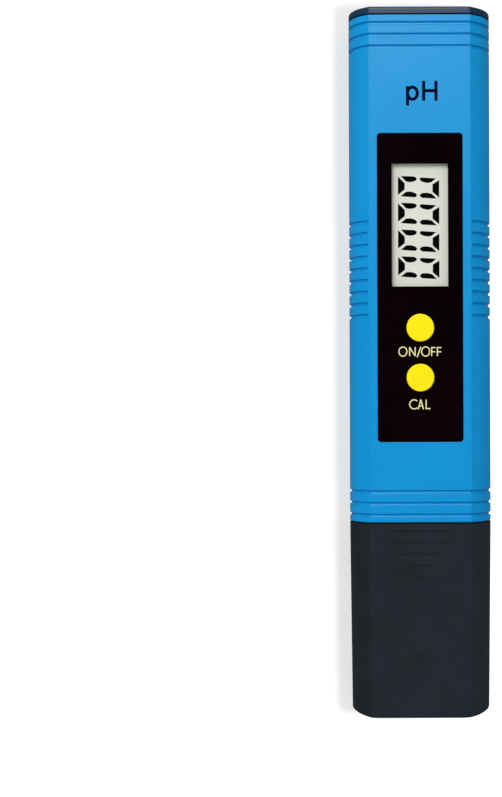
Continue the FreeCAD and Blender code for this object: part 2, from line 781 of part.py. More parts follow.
def chip(label, x, z, width, height, legs):
    """A chip on the board's rear face with a row of legs on each side."""
    standoff, top = 0.12, 1.4
    leg_pitch, leg_half, leg_thk = 0.8, 0.18, 0.3
    leg_inside, leg_reach = 0.1, 0.9
    parts = [box(label + "_case", x - width / 2, x + width / 2, BOARD_REAR + standoff,
                 BOARD_REAR + top, z - height / 2, z + height / 2)]
    for i in range(legs):
        leg_z = z + (i - (legs - 1) / 2) * leg_pitch
        for sign in (-1, 1):
            x0, x1 = sorted((x + sign * (width / 2 - leg_inside),
                             x + sign * (width / 2 + leg_reach)))
            parts.append(box("%s_leg_%d_%d" % (label, i, sign + 1), x0, x1, BOARD_REAR,
                             BOARD_REAR + leg_thk, leg_z - leg_half, leg_z + leg_half))
    node(label, fuse(label + "_all", parts))


def board_parts():
    chip("mcu_chip", x=0.0, z=104.0, width=7.0, height=9.0, legs=10)
    chip("op_amp_chip", x=-2.5, z=76.0, width=4.0, height=5.0, legs=4)
    node("crystal_can", rod(
        "crystal_can_round", x=6.2, y=0.35, z=92.0, radius=1.0, length=6.0))
    passives = [
        box("passive_%d" % i, x - width / 2, x + width / 2,
            BOARD_REAR, BOARD_REAR + PASSIVE_THK, z - height / 2, z + height / 2)
        for i, (x, z, width, height) in enumerate(PASSIVES)
    ]
    node("chip_passives", group("passives", passives))


# ---------------------------------------------------------------------- keys
def key_button(tag, z):
    """A flat round key with a retaining flange behind the shell."""
    edge = 0.2
    body = new_body(tag + "_button")
    Pen(body, tag + "_key_turned", "XY").loop(
        [
            (0, dim.key_back), (dim.key_flange, dim.key_back),
            (dim.key_flange, dim.key_seat), (dim.key_rad, dim.key_seat),
            (dim.key_rad, dim.key_front - edge), (dim.key_rad - edge, dim.key_front),
            (0, dim.key_front),
        ],
        {4: (edge, 1)},
    ).revolve()
    place(body, 0, 0, z, HALF_TURN)
    node(tag + "_button", body)


def switch_base(tag, z):
    """A square base on the board's front face, with a round bore."""
    half, thick, bore_rad, bore_deep = 3.0, 2.5, 1.65, 1.35
    body = new_body(tag + "_switch_base")
    Pen(body, tag + "_base_square", "XZ", dim.pcb_front).window(z, half, half).pad(thick)
    Pen(body, tag + "_base_bore", "XZ", dim.pcb_front + thick).circle(
        0, z, bore_rad).pocket(bore_deep)
    node(tag + "_switch_base", body)


def switch_dome(tag, z):
    """A thin cone of contact metal in the bore of the base."""
    radius, thick = 1.5, 0.08
    rim, crest = 3.56, 3.8  # rear surface, forward of centre
    body = new_body(tag + "_dome")
    Pen(body, tag + "_dome_turned", "XY").loop(
        [(0, crest), (radius, rim), (radius, rim + thick), (0, crest + thick)]
    ).revolve()
    place(body, 0, 0, z, HALF_TURN)
    return body


def keys():
    domes = []
    for tag, z in (("on_off", dim.key_on_z), ("cal", dim.key_cal_z)):
        key_button(tag, z)
        switch_base(tag, z)
        node(tag + "_switch_plunger", rod(
            tag + "_plunger", 0, -dim.key_back, z, radius=1.6, length=1.3, along="y"))
        domes.append(switch_dome(tag, z))
    node("switch_domes", group("dome_pair", domes))


# ---------------------------------------------------------------- seal rings
GROOVE_OUT = 0.6     # groove cutter outside the surface
GROOVE_DEEP = 0.75   # groove depth
SEAL_GAP = 0.02      # gap to the groove floor and to the bore
SEAL_END_GAP = 0.05  # gap to each side wall of the groove
SEAL_BEVEL = 0.22


def band_pen(body, name, z, outer, inner):
    """Two outlines, one inside the other."""
    return outline_pen(body, name, z, outer).loop(*outline(inner))


def seal_groove(body, name, top, surface, length):
    band_pen(body, name, top, surface - GROOVE_OUT, surface + GROOVE_DEEP).pocket(length)


def seal_ring(label, tag, groove_top, groove_len, bore, surface):
    """A bevelled ring between the bore and a groove, both given as insets."""
    body = new_body(label)
    band_pen(
        body, tag + "_seal_ring", groove_top - groove_len + SEAL_END_GAP,
        bore + SEAL_GAP, surface + GROOVE_DEEP - SEAL_GAP,
    ).pad(groove_len - 2 * SEAL_END_GAP)
    dress(body, "Chamfer", lambda edge: edge.BoundBox.ZLength < 1e-6,
          SEAL_BEVEL, tag + "_seal_bevel")
    node(label, body)


# --------------------------------------------------------------- battery end
CONTACT_X = dim.cell_x - 1.9     # middle of a contact strip
TONGUE_HALF_W = 10
TONGUE_FRONT = 1                 # forward of centre
TONGUE_REAR = 2.5                # behind centre
TONGUE_ROOT = 0.5                # tongue inside the tray block
TONGUE_LEN = 2.5                 # tongue above the plug's lower end
TONGUE_GAP = 0.05                # round the tongue in its slot
SLOT_DEEP = 2.6
TRAY_FACE = dim.cell_front - 0.1  # forward of centre
BRIDGE_HALF_W = 9.2
BRIDGE_HALF_LEN = 2.5
BRIDGE_GAP = 0.1                 # round the bridge in its pocket


def battery_contact(label, middle_x):
    """A bent contact spring: soldered foot, riser and a crest on the cell."""
    width, thick, board_gap = 2.6, 0.22, 0.01
    foot_y = -dim.pcb_front.value - thick / 2 - board_gap
    riser_y, crest_y = -3.7, -2.8
    # centre line of the strip in y, z
    centre = [Vector(y, z, 0) for y, z in (
        (foot_y, 125.4), (foot_y, 130.2), (riser_y, 132.0), (riser_y, 138.6),
        (crest_y, dim.cell_z.value), (riser_y, 145.4),
    )]
    left, right = [], []
    for i, point in enumerate(centre):
        is_last = i == len(centre) - 1
        ahead = None if is_last else (centre[i + 1] - point).normalize()
        behind = (point - centre[i - 1]).normalize() if i else ahead
        ahead = behind if is_last else ahead
        normal0 = Vector(-behind.y, behind.x, 0)
        normal1 = Vector(-ahead.y, ahead.x, 0)
        mitre = (normal0 + normal1) * (thick / 2 / (1 + normal0.dot(normal1)))
        left.append(((point + mitre).x, (point + mitre).y))
        right.append(((point - mitre).x, (point - mitre).y))
    body = new_body(label)
    Pen(body, label + "_bend", "YZ", middle_x - width / 2).loop(left + right[::-1]).pad(width)
    node(label, body)


def battery_cap():
    crease = dim.plate_round + 0.15  # wider than the top rounding that crosses it
    body = new_body("battery_cap")
    outline_pen(body, "cap_plate", dim.plate_z0, dim.plate_off, crease=crease).pad(
        dim.total_len - dim.plate_z0)
    dress(body, "Fillet", at_height(dim.total_len), dim.plate_round, "cap_plate_round")
    outline_pen(body, "cap_plug", dim.plate_z0, dim.plug_off).pad(
        dim.plate_z0 - dim.plug_z0, backwards=True)
    seal_groove(body, "cap_seal_groove", dim.cap_groove_z, dim.plug_off, dim.cap_groove_len)
    # slot that holds the tray's tongue
    half_w = TONGUE_HALF_W + TONGUE_GAP
    Pen(body, "cap_tongue_slot", "XY", dim.plug_z0).rect(
        -half_w, -TONGUE_FRONT - TONGUE_GAP, half_w, TONGUE_REAR + TONGUE_GAP
    ).pocket(SLOT_DEEP, backwards=True)
    node("battery_cap", body)


def battery_tray():
    corner_rad, plug_gap = 1.0, 0.02
    cell_gap, cell_proud = 0.1, 0.05
    bridge_y, bridge_deep = 2.7, 0.5
    body = new_body("battery_tray")
    Pen(body, "tray_block", "XZ", TRAY_FACE).rect(
        -dim.tray_half, dim.tray_z0, dim.tray_half, dim.plug_z0 - plug_gap, corner_rad
    ).pad(TRAY_FACE + dim.tray_rear, backwards=True)
    Pen(body, "tray_tongue", "XY", dim.plug_z0 - TONGUE_ROOT).rect(
        -TONGUE_HALF_W, -TONGUE_FRONT, TONGUE_HALF_W, TONGUE_REAR
    ).pad(TONGUE_ROOT + TONGUE_LEN)
    Pen(body, "cell_pockets", "XZ", TRAY_FACE).circles(
        [(-dim.cell_x, dim.cell_z), (dim.cell_x, dim.cell_z)], dim.cell_rad + cell_gap
    ).pocket(dim.cell_thk - cell_proud)
    Pen(body, "bridge_pocket", "XZ", -bridge_y).window(
        dim.cell_z, BRIDGE_HALF_W + BRIDGE_GAP, BRIDGE_HALF_LEN + BRIDGE_GAP
    ).pocket(bridge_deep)
    node("battery_tray", body)


def cell_bridge():
    """The flat strip behind both cells."""
    front_y, rear_y = 2.82, 3.12
    node("cell_bridge", box(
        "cell_bridge", -BRIDGE_HALF_W, BRIDGE_HALF_W, front_y, rear_y,
        dim.cell_z - BRIDGE_HALF_LEN, dim.cell_z + BRIDGE_HALF_LEN))


def button_cell(label, x, y, rotation):
    """An LR44-size button cell: can, crimp and smaller cap."""
    radius, thick = dim.cell_rad, dim.cell_thk
    base_round, crimp_round = 0.5, 0.4
    body = new_body(label)
    Pen(body, label + "_turned", "XY").loop(
        [
            (0, 0), (radius - base_round, 0), (radius, base_round),
            (radius, thick - 0.55), (radius - 0.35, thick - 0.2),
            (radius - 0.95, thick - 0.2), (radius - 1.0, thick), (0, thick),
        ],
        {1: (base_round, 1), 3: (crimp_round, 1)},
    ).revolve()
    place(body, x, y, dim.cell_z, rotation)
    node(label, body)


def battery_end():
    battery_contact("battery_contact_left", -CONTACT_X)
    battery_contact("battery_contact_right", CONTACT_X)
    battery_cap()
    seal_ring("battery_cap_seal", "cap", dim.cap_groove_z, dim.cap_groove_len,
              bore=dim.wall, surface=dim.plug_off)
    battery_tray()
    cell_bridge()
    # the left cell has its can base to the front, the right one to the rear
    button_cell("cell_left", -dim.cell_x, -dim.cell_front, Rotation())
    button_cell("cell_right", dim.cell_x, dim.cell_thk - dim.cell_front, HALF_TURN)


# -------------------------------------------------------------- electrode end
REF_X, REF_Y = 3.0, 2.6        # axis of the reference bore, junction and wire
JUNCTION_RAD = 0.6
WIRE_RAD = 0.3
WIRE_HOLE = WIRE_RAD + 0.02
LEAD_Y = BOARD_REAR + 0.31     # leads end on the board's rear face
PROBE_LEADS = [dim.probe_x + shift for shift in (-0.5, 0.5)]
POT_DEEP = 3.6                 # potting recess in the top of the housing
POT_INSET = 3.4


def electrode_housing():
    seat_z = dim.body_bot + 0.3
    body = new_body("electrode_housing")
    outline_pen(body, "nose_collar", dim.nose_step, dim.nose_off, crease=dim.crease_rad).pad(
        dim.nose_top - dim.nose_step)
    outline_pen(body, "nose_seat", seat_z, dim.nose_fix).pad(dim.nose_top - seat_z)
    outline_pen(body, "nose_lower", dim.nose_tip, dim.nose_in, crease=dim.tip_round + 0.3).pad(
        dim.nose_step - dim.nose_tip)
    dress(body, "Fillet", at_height(dim.nose_tip), dim.tip_round, "nose_tip_round")
    seal_groove(body, "nose_groove", dim.nose_groove_z, dim.nose_off, dim.nose_groove_len)

    # well for the bulb and probe, with an open window front and back
    radius = dim.well_rad
    flat = dim.well_half - radius
    Pen(body, "nose_well", "XY", dim.well_top).loop(
        [(-flat, -radius), (flat, -radius), (flat + radius, 0),
         (flat, radius), (-flat, radius), (-flat - radius, 0)],
        {i: (radius, 1) for i in (1, 2, 4, 5)},
    ).pocket()
    half_w, bottom, top, corner = 7.2, 5.0, 22.0, 3.0
    Pen(body, "nose_window", "XZ", dim.half_depth).loop(
        [(-half_w, bottom), (half_w, bottom), (half_w, top - corner),
         (half_w - corner, top), (corner - half_w, top), (-half_w, top - corner)],
        {2: (corner, 1), 4: (corner, 1)},
    ).pocket()

    # bores for the glass tube, probe, reference gel and junction
    tube_gap, probe_gap, into_well = 0.04, 0.03, 0.5
    Pen(body, "nose_bores", "XY", dim.nose_top).circle(
        dim.tube_x, 0, dim.tube_rad + tube_gap
    ).circle(dim.probe_x, 0, dim.probe_rad + probe_gap).pocket(
        dim.nose_top - dim.well_top + into_well)
    gel_rad, gel_z, junction_z, junction_deep = 0.95, 30.0, 30.5, 5.0
    Pen(body, "nose_gel", "XY", dim.nose_top).circle(
        REF_X, REF_Y, gel_rad).pocket(dim.nose_top - gel_z)
    Pen(body, "nose_junction", "XY", junction_z).circle(
        REF_X, REF_Y, JUNCTION_RAD + 0.02).pocket(junction_deep)
    # potting recess at the top
    outline_pen(body, "nose_pot", dim.nose_top, POT_INSET).pocket(POT_DEEP)
    node("electrode_housing", body)


def glass_electrode():
    """A thin-walled tube, open at the top, with a bulb at its lower end."""
    z, outer, inner = dim.bulb_z, dim.bulb_rad, dim.bulb_in
    outer_neck_z = z + (outer * outer - dim.tube_rad * dim.tube_rad).sqrt()
    inner_neck_z = z + (inner * inner - dim.tube_in * dim.tube_in).sqrt()
    body = new_body("glass_electrode")
    Pen(body, "glass_wall", "XZ").loop(
        [
            (0, z - outer), (outer, z), (dim.tube_rad, outer_neck_z),
            (dim.tube_rad, dim.tube_top), (dim.tube_in, dim.tube_top),
            (dim.tube_in, inner_neck_z), (inner, z), (0, z - inner),
        ],
        {0: (outer, 1), 1: (outer, 1), 5: (inner, -1), 6: (inner, -1)},
    ).revolve()
    place(body, dim.tube_x, 0, 0)
    node("glass_electrode", body)


def wire(name, plane, offset, start, points):
    """A round lead that starts level at `start` (x, y) and follows a bent path
    drawn on one of the upright planes."""
    body = new_body(name)
    path = Pen(body, name + "_path", plane, offset).loop(points, closed=False).done()
    profile = Pen(body, name + "_round", "XY", points[0][1]).circle(*start, WIRE_RAD).done()
    pipe = body.newObject("PartDesign::AdditivePipe", name + "_swept")
    pipe.Profile = profile
    pipe.Spine = (path, [])
    pipe.Transition = "Right corner"
    verify(body, pipe.Name, 0, True)
    return body


def silver_wire():
    node("silver_wire", wire("silver_wire", "YZ", dim.tube_x, (dim.tube_x, 0), [
        (0, 13.0), (0, dim.nose_top + 0.8), (LEAD_Y, dim.nose_top + 3.0), (LEAD_Y, 67.0),
    ]))


def tube_stopper():
    length, tube_gap = 4.0, 0.02
    body = new_body("tube_stopper")
    Pen(body, "stopper_ring", "XY", dim.tube_top - length).circle(
        0, 0, dim.tube_in - tube_gap).circle(0, 0, WIRE_HOLE).pad(length)
    place(body, dim.tube_x, 0, 0)
    node("tube_stopper", body)


def reference_parts():
    node("reference_junction", rod(
        "reference_junction", REF_X, REF_Y, z=25.2, radius=JUNCTION_RAD, length=5.2))
    node("reference_wire", wire("reference_wire", "YZ", REF_X, (REF_X, REF_Y), [
        (REF_Y, 31.0), (REF_Y, dim.nose_top + 0.8),
        (LEAD_Y, dim.nose_top + 5.0), (LEAD_Y, 68.0),
    ]))


def temperature_probe():
    tip_z, top_z = 12.6, 50.0
    body = new_body("temperature_probe")
    Pen(body, "probe_turned", "XZ").loop(
        [(0, tip_z), (dim.probe_rad, tip_z + dim.probe_rad), (dim.probe_rad, top_z),
         (0, top_z)],
        {0: (dim.probe_rad, 1)},
    ).revolve()
    place(body, dim.probe_x, 0, 0)
    node("temperature_probe", body)


def probe_leads():
    sidestep = 1.2
    leads = [
        wire("probe_lead_%d" % i, "XZ", -LEAD_Y, (x, LEAD_Y), [
            (x, 50.1), (x, dim.nose_top + 0.2),
            (x - sidestep, dim.nose_top + 1.8), (x - sidestep, 67.0),
        ])
        for i, x in enumerate(PROBE_LEADS)
    ]
    node("probe_leads", group("lead_pair", leads))


def potting_plug():
    wall_gap, thick = 0.02, 3.2
    body = new_body("potting_plug")
    outline_pen(body, "pot_outline", dim.nose_top - POT_DEEP, POT_INSET + wall_gap).pad(thick)
    Pen(body, "pot_wires", "XY", dim.nose_top).circles(
        [(dim.tube_x, 0), (REF_X, REF_Y)] + [(x, LEAD_Y) for x in PROBE_LEADS], WIRE_HOLE
    ).pocket()
    node("potting_plug", body)


def electrode_end():
    electrode_housing()
    seal_ring("nose_seal", "nose", dim.nose_groove_z, dim.nose_groove_len,
              bore=dim.cap_in, surface=dim.nose_off)
    glass_electrode()
    silver_wire()
    tube_stopper()
    reference_parts()
    temperature_probe()
    probe_leads()
    potting_plug()


# -------------------------------------------------------------- electrode cap
LINE_LENGTHS = (13.3, 11.2, 8.4, 5.4, 1.8)  # straight parts, from the top line down
LINE_OUT = 0.2                              # cutter centre outside the cap's face


def cap_blank():
    """The cap without its finger lines."""
    body = new_body("protective_cap")
    low = outline_pen(body, "ecap_end", 0, dim.cap_off_b, crease=dim.cap_crease).done()
    high = outline_pen(
        body, "ecap_rim", dim.cap_top, dim.cap_off_t, crease=dim.crease_rad).done()
    loft = body.newObject("PartDesign::AdditiveLoft", "ecap_loft")
    loft.Profile = low
    loft.Sections = [high]
    loft.Ruled = True
    verify(body, loft.Name, 0, True)

    # the end is flat in the middle and curves up gently towards both sides
    x0, x1, radius = dim.crown_x, dim.crown_x1, dim.crown_rad
    crown_z = radius - (radius * radius - (x1 - x0) * (x1 - x0)).sqrt()
    sketch_y, below = 20, -1  # well clear of the cap
    Pen(body, "ecap_crown", "XZ", sketch_y).loop(
        [(x0, 0), (x1, crown_z), (x1, below), (x0, below)], {0: (radius, 1)}
    ).loop(
        [(-x0, 0), (-x0, below), (-x1, below), (-x1, crown_z)], {3: (radius, 1)}
    ).pocket()

    def end_rim(edge):
        """Round the end face, but not where the flat meets the crown."""
        ends = ends_of(edge)
        if max(point.z for point in ends) > 2.2 or abs(ends[0].z - ends[-1].z) > 2:
            return False
        return not all(abs(abs(point.x) - x0.value) < 1e-3 for point in ends)

    dress(body, "Fillet", end_rim, dim.cap_round, "ecap_end_round")
    outline_pen(body, "ecap_bore", dim.cap_top, dim.cap_in).pocket(
        dim.cap_top - dim.cap_floor)
    return body


def protective_cap():
    """The cap with round-ended finger lines, shorter downwards, on both faces."""
    blank = cap_blank()
    lines = []
    for i, length in enumerate(LINE_LENGTHS):
        z = dim.cap_line_z - i * dim.cap_pitch
        inset = dim.cap_off_b + (dim.cap_off_t - dim.cap_off_b) * (z / dim.cap_top)
        for tag, face in (("front", -1), ("rear", 1)):
            y = face * (dim.half_depth - inset + LINE_OUT)
            lines.append(rod(
                "line_%s_%d" % (tag, i), -length / 2, y, z, dim.line_rad, length, "x"))
            for end, x in enumerate((-length / 2, length / 2)):
                ball = doc.addObject("Part::Sphere", "line_end_%s_%d_%d" % (tag, i, end))
                ball.Radius = dim.line_rad.value
                bind(ball, "Radius", dim.line_rad)
                place(ball, x, y, z)
                lines.append(ball)
    made = doc.addObject("Part::Cut", "protective_cap_cut")
    made.Base = blank
    made.Tool = fuse("finger_lines", lines)
    node("protective_cap", made)


def cap_sponge():
    floor_gap, bore_gap, thick = 0.02, 0.2, 6.4
    body = new_body("cap_sponge")
    outline_pen(
        body, "sponge_outline", dim.cap_floor + floor_gap, dim.cap_in + bore_gap).pad(thick)
    node("cap_sponge", body)


# --------------------------------------------------------------------- build
front_shell()
rear_shell()
screws()
panel_overlay()
display_layers()
lcd_frame()
zebra_strips()
circuit_board()
board_parts()
keys()
battery_end()
electrode_end()
protective_cap()
cap_sponge()

# --------------------------------------------------------------------- write
doc.recompute()
bad = [
    obj.Name for obj in doc.Objects
    if any(state in obj.State for state in ("Invalid", "Error"))
]
if bad:
    raise SystemExit("objects in a failed state: %s" % bad)
os.makedirs("parts", exist_ok=True)
for label, obj in NODES:
    shape = obj.Shape
    if shape.isNull() or not shape.isValid() or not shape.Solids:
        raise SystemExit("%s has no valid solid" % label)
    for solid in shape.Solids:
        if solid.Volume <= 0 or not solid.isClosed():
            raise SystemExit("%s has an open or inside-out solid" % label)
# files of parts that are no longer built
labels = [label for label, _ in NODES]
for name in os.listdir("parts"):
    if name.endswith(".step") and name[:-5] not in labels:
        os.remove(os.path.join("parts", name))
for label, obj in NODES:
    obj.Shape.exportStep(os.path.join("parts", label + ".step"))
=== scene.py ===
import json
import math

import bmesh
import bpy
import numpy as np
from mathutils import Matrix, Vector


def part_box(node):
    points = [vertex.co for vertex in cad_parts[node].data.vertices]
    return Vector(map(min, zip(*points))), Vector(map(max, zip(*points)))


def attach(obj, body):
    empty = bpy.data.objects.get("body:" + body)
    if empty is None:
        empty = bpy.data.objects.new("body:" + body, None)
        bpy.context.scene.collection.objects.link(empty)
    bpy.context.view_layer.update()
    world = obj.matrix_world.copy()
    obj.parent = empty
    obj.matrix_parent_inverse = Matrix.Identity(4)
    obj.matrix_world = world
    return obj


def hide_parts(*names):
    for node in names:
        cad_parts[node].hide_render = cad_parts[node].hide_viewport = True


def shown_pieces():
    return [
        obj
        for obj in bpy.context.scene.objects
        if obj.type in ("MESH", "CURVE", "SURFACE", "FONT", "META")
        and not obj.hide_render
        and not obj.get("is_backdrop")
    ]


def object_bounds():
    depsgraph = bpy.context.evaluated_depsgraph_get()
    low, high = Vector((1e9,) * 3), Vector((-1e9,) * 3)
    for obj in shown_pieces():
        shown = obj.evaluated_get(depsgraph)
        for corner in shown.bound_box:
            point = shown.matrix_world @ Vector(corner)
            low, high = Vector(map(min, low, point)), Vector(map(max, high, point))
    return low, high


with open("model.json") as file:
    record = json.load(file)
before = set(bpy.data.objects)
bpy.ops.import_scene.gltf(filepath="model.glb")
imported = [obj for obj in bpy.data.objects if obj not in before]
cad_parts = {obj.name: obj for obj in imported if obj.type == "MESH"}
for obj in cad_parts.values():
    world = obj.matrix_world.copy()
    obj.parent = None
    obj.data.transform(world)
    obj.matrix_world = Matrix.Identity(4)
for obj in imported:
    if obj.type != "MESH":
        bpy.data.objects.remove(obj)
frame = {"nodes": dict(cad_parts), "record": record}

first_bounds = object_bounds()

MM = 0.001
NODES = frame["nodes"]
scene = bpy.context.scene
SKY, SHEEN = 0.84, 0.22


# ------------------------------------------------------------ node shorthand
class Graph:
    """A small wrapper that makes and links shader nodes."""

    def __init__(self, name):
        self.mat = bpy.data.materials.new(name)
        self.mat.use_nodes = True
        self.tree = self.mat.node_tree
        self.tree.nodes.clear()
        self.out = self.tree.nodes.new("ShaderNodeOutputMaterial")

    def put(self, kind, props=None, **inputs):
        n = self.tree.nodes.new(kind)
        for k, v in (props or {}).items():
            setattr(n, k, v)
        for k, v in inputs.items():
            self.feed(n, k.replace("_", " "), v)
        return n

    def feed(self, n, key, v):
        sock = n.inputs[int(key[1:])] if key[0] == "#" else n.inputs[key]
        if isinstance(v, bpy.types.NodeSocket):
            self.tree.links.new(v, sock)
        elif isinstance(v, bpy.types.Node):
            self.tree.links.new(v.outputs[0], sock)
        else:
            sock.default_value = v

    def math(self, op, a, b=0.0, clamp=False):
        n = self.tree.nodes.new("ShaderNodeMath")
        n.operation, n.use_clamp = op, clamp
        self.feed(n, "#0", a)
        self.feed(n, "#1", b)
        return n.outputs[0]

    def coords(self):
        return self.put("ShaderNodeTexCoord").outputs["Object"]

    def noise(self, size_mm, detail=2.0, rough=0.5, stretch=(1, 1, 1), seed=(0, 0, 0)):
        """Noise with features of about size_mm, from 0 to 1 about 0.5."""
        m = self.put("ShaderNodeMapping", Vector=self.coords(), Scale=stretch, Location=seed)
        n = self.put("ShaderNodeTexNoise", Vector=m.outputs[0])
        n.inputs["Scale"].default_value = 1.0 / (size_mm * MM)
        n.inputs["Detail"].default_value = detail
        n.inputs["Roughness"].default_value = rough
        return n.outputs[0]

    def ramp(self, value, stops):
        n = self.put("ShaderNodeValToRGB", Fac=value)
        e = n.color_ramp.elements
        while len(e) < len(stops):
            e.new(0.5)
        for i, (at, col) in enumerate(stops):
            e[i].position = at
            e[i].color = (*col, 1.0) if isinstance(col, tuple) else (col, col, col, 1.0)
        return n.outputs[0]

    def mix(self, fac, a, b, mode="MIX"):
        n = self.tree.nodes.new("ShaderNodeMix")
        n.data_type, n.blend_type = "RGBA", mode
        n.inputs["Factor"].default_value = 0.5
        if isinstance(fac, (int, float)):
            n.inputs["Factor"].default_value = fac
        else:
            self.tree.links.new(fac, n.inputs["Factor"])
        for key, v in (("A", a), ("B", b)):
            sock = [s for s in n.inputs if s.name == key and s.type == "RGBA"][0]
            if isinstance(v, bpy.types.NodeSocket):
                self.tree.links.new(v, sock)
            else:
                sock.default_value = (*v, 1.0) if len(v) == 3 else v
        return [s for s in n.outputs if s.type == "RGBA"][0]

    def edges(self, radius_mm, sharp=7.0):
        """(mask of worn edges 0 to 1, rounded normal)"""
        bev = self.put("ShaderNodeBevel", {"samples": 4})
        bev.inputs["Radius"].default_value = radius_mm * MM
        geo = self.put("ShaderNodeNewGeometry")
        dot = self.put("ShaderNodeVectorMath", {"operation": "DOT_PRODUCT"})
        self.feed(dot, "#0", bev.outputs[0])
        self.feed(dot, "#1", geo.outputs["Normal"])
        away = self.math("SUBTRACT", 1.0, dot.outputs["Value"])
        return self.math("MULTIPLY", away, sharp, True), bev.outputs[0]


def surface(
    name, rgb, rough=0.5, metal=0.0, spec=0.5, grain=0.25, bump=0.25, blotch=6.0, tint=0.06,
    rough_var=0.08, wear=0.12, wear_rgb=None, edge_mm=0.12, stretch=(1, 1, 1), coat=0.0, sheen=0.0,
    sub=0.0, second=None, ior=1.46, scratches=0.3, glow=0.0,
):
    """An opaque finish with moulded or drawn grain, uneven gloss, fine hair
    scratches and edges that catch light and show a little wear."""
    g = Graph(name)
    fine = g.noise(grain, 3.0, 0.6, stretch)
    broad = g.noise(blotch, 4.0, 0.6, seed=(0.13, 0.41, 0.07))
    mid = g.noise(blotch * 0.18, 3.0, 0.55, seed=(0.5, 0.2, 0.9))
    # colour: base, broad unevenness, specks, worn edges
    dark = tuple(c * (1.0 - tint) for c in rgb)
    light = tuple(min(1.0, c * (1.0 + tint) + 0.004 * tint) for c in rgb)
    col = g.mix(g.ramp(broad, [(0.3, 0.0), (0.7, 1.0)]), dark, light)
    speck = g.ramp(fine, [(0.25, 1.0), (0.55, 0.0)])
    col = g.mix(g.math("MULTIPLY", speck, 0.45 * tint / 0.06), col, tuple(c * 0.9 for c in rgb))
    if second:
        where, rgb2 = second(g)
        col = g.mix(where, col, rgb2)
    normal = None
    rough_s = g.math("ADD", rough - rough_var / 2, g.math("MULTIPLY", mid, rough_var))
    if scratches:
        hair = g.noise(0.9, 2.0, 0.5, (1.0, 1.0, 0.02), (3.1, 0.3, 0.2))
        cross = g.noise(1.3, 2.0, 0.5, (0.03, 1.0, 1.0), (1.1, 2.3, 0.2))
        line = g.math("MAXIMUM", g.ramp(hair, [(0.66, 0.0), (0.7, 1.0)]), g.ramp(cross, [(0.69, 0.0), (0.72, 1.0)]))
        rough_s = g.math("ADD", rough_s, g.math("MULTIPLY", line, 0.06 * scratches))
    if wear:
        mask, normal = g.edges(edge_mm)
        broken = g.math("MULTIPLY", mask, g.ramp(mid, [(0.38, 0.25), (0.62, 1.0)]), True)
        worn = wear_rgb or tuple(min(1.0, c * 1.35 + 0.03) for c in rgb)
        col = g.mix(g.math("MULTIPLY", broken, wear), col, worn)
        rough_s = g.math("SUBTRACT", rough_s, g.math("MULTIPLY", broken, 0.5 * wear), True)
    b = g.put("ShaderNodeBump", Height=fine)
    b.inputs["Strength"].default_value = bump
    b.inputs["Distance"].default_value = grain * 0.12 * MM
    if normal is not None:
        g.feed(b, "Normal", normal)
    p = g.put("ShaderNodeBsdfPrincipled", Base_Color=col, Roughness=rough_s, Metallic=metal, Normal=b.outputs[0])
    p.inputs["Specular IOR Level"].default_value = spec
    p.inputs["IOR"].default_value = ior
    p.inputs["Coat Weight"].default_value = coat
    p.inputs["Sheen Weight"].default_value = sheen
    if glow:
        g.feed(p, "Emission Color", col)
        p.inputs["Emission Strength"].default_value = glow
    if sub:
        p.inputs["Subsurface Weight"].default_value = sub
        p.inputs["Subsurface Scale"].default_value = 0.6 * MM
    g.feed(g.out, "Surface", p.outputs[0])
    return g.mat


def clear(name, tint, see, rough=0.03, gloss=0.5, smear=0.25, body=0.0):
    """A thin clear part: it passes light straight through, carries a tint, and
    reflects at its surface with faint uneven smears."""
    g = Graph(name)
    film = g.noise(2.2, 4.0, 0.6)
    tr = g.put("ShaderNodeBsdfTransparent", Color=(*tint, 1.0))
    r = g.math("ADD", rough, g.math("MULTIPLY", g.ramp(film, [(0.45, 0.0), (0.75, 1.0)]), smear * 0.3))
    b = g.put("ShaderNodeBump", Height=g.noise(5.0, 2.0))
    b.inputs["Strength"].default_value = 0.05
    b.inputs["Distance"].default_value = 0.02 * MM
    gl = g.put("ShaderNodeBsdfGlossy", Roughness=r, Normal=b.outputs[0])
    di = g.put("ShaderNodeBsdfDiffuse", Color=(*tint, 1.0))
    fr = g.put("ShaderNodeFresnel")
    fr.inputs["IOR"].default_value = 1.45
    m0 = g.put("ShaderNodeMixShader", Fac=g.math("ADD", 1.0 - see, g.math("MULTIPLY", film, body)))
    g.feed(m0, "#1", tr.outputs[0])
    g.feed(m0, "#2", di.outputs[0])
    m = g.put("ShaderNodeMixShader", Fac=g.math("MULTIPLY", fr.outputs[0], gloss))
    g.feed(m, "#1", m0.outputs[0])
    g.feed(m, "#2", gl.outputs[0])
    g.feed(g.out, "Surface", m.outputs[0])
    return g.mat


# ----------------------------------------------------------------- materials
BLUE = (0.0028, 0.282, 0.640)
BLACK = (0.0118, 0.0164, 0.0210)


def pcb_traces(g):
    """Tinned tracks and pads under the green mask."""
    v = g.put("ShaderNodeTexVoronoi", {"feature": "DISTANCE_TO_EDGE"})
    g.feed(v, "Vector", g.put("ShaderNodeMapping", Vector=g.coords(), Scale=(1, 1, 0.45)).outputs[0])
    v.inputs["Scale"].default_value = 1.0 / (2.6 * MM)
    return g.ramp(v.outputs["Distance"], [(0.03, 1.0), (0.06, 0.0)]), (0.05, 0.36, 0.12)


def zebra_layers(g):
    w = g.put("ShaderNodeTexWave", {"wave_type": "BANDS", "bands_direction": "Z"}, Vector=g.coords())
    w.inputs["Scale"].default_value = 1.0 / (1.6 * MM)
    return g.ramp(w.outputs["Fac"], [(0.45, 0.0), (0.55, 1.0)]), (0.06, 0.06, 0.065)


def seg_film(g):
    return g.ramp(g.noise(9.0, 2.0), [(0.3, 0.0), (0.8, 0.5)]), (0.75, 0.765, 0.68)


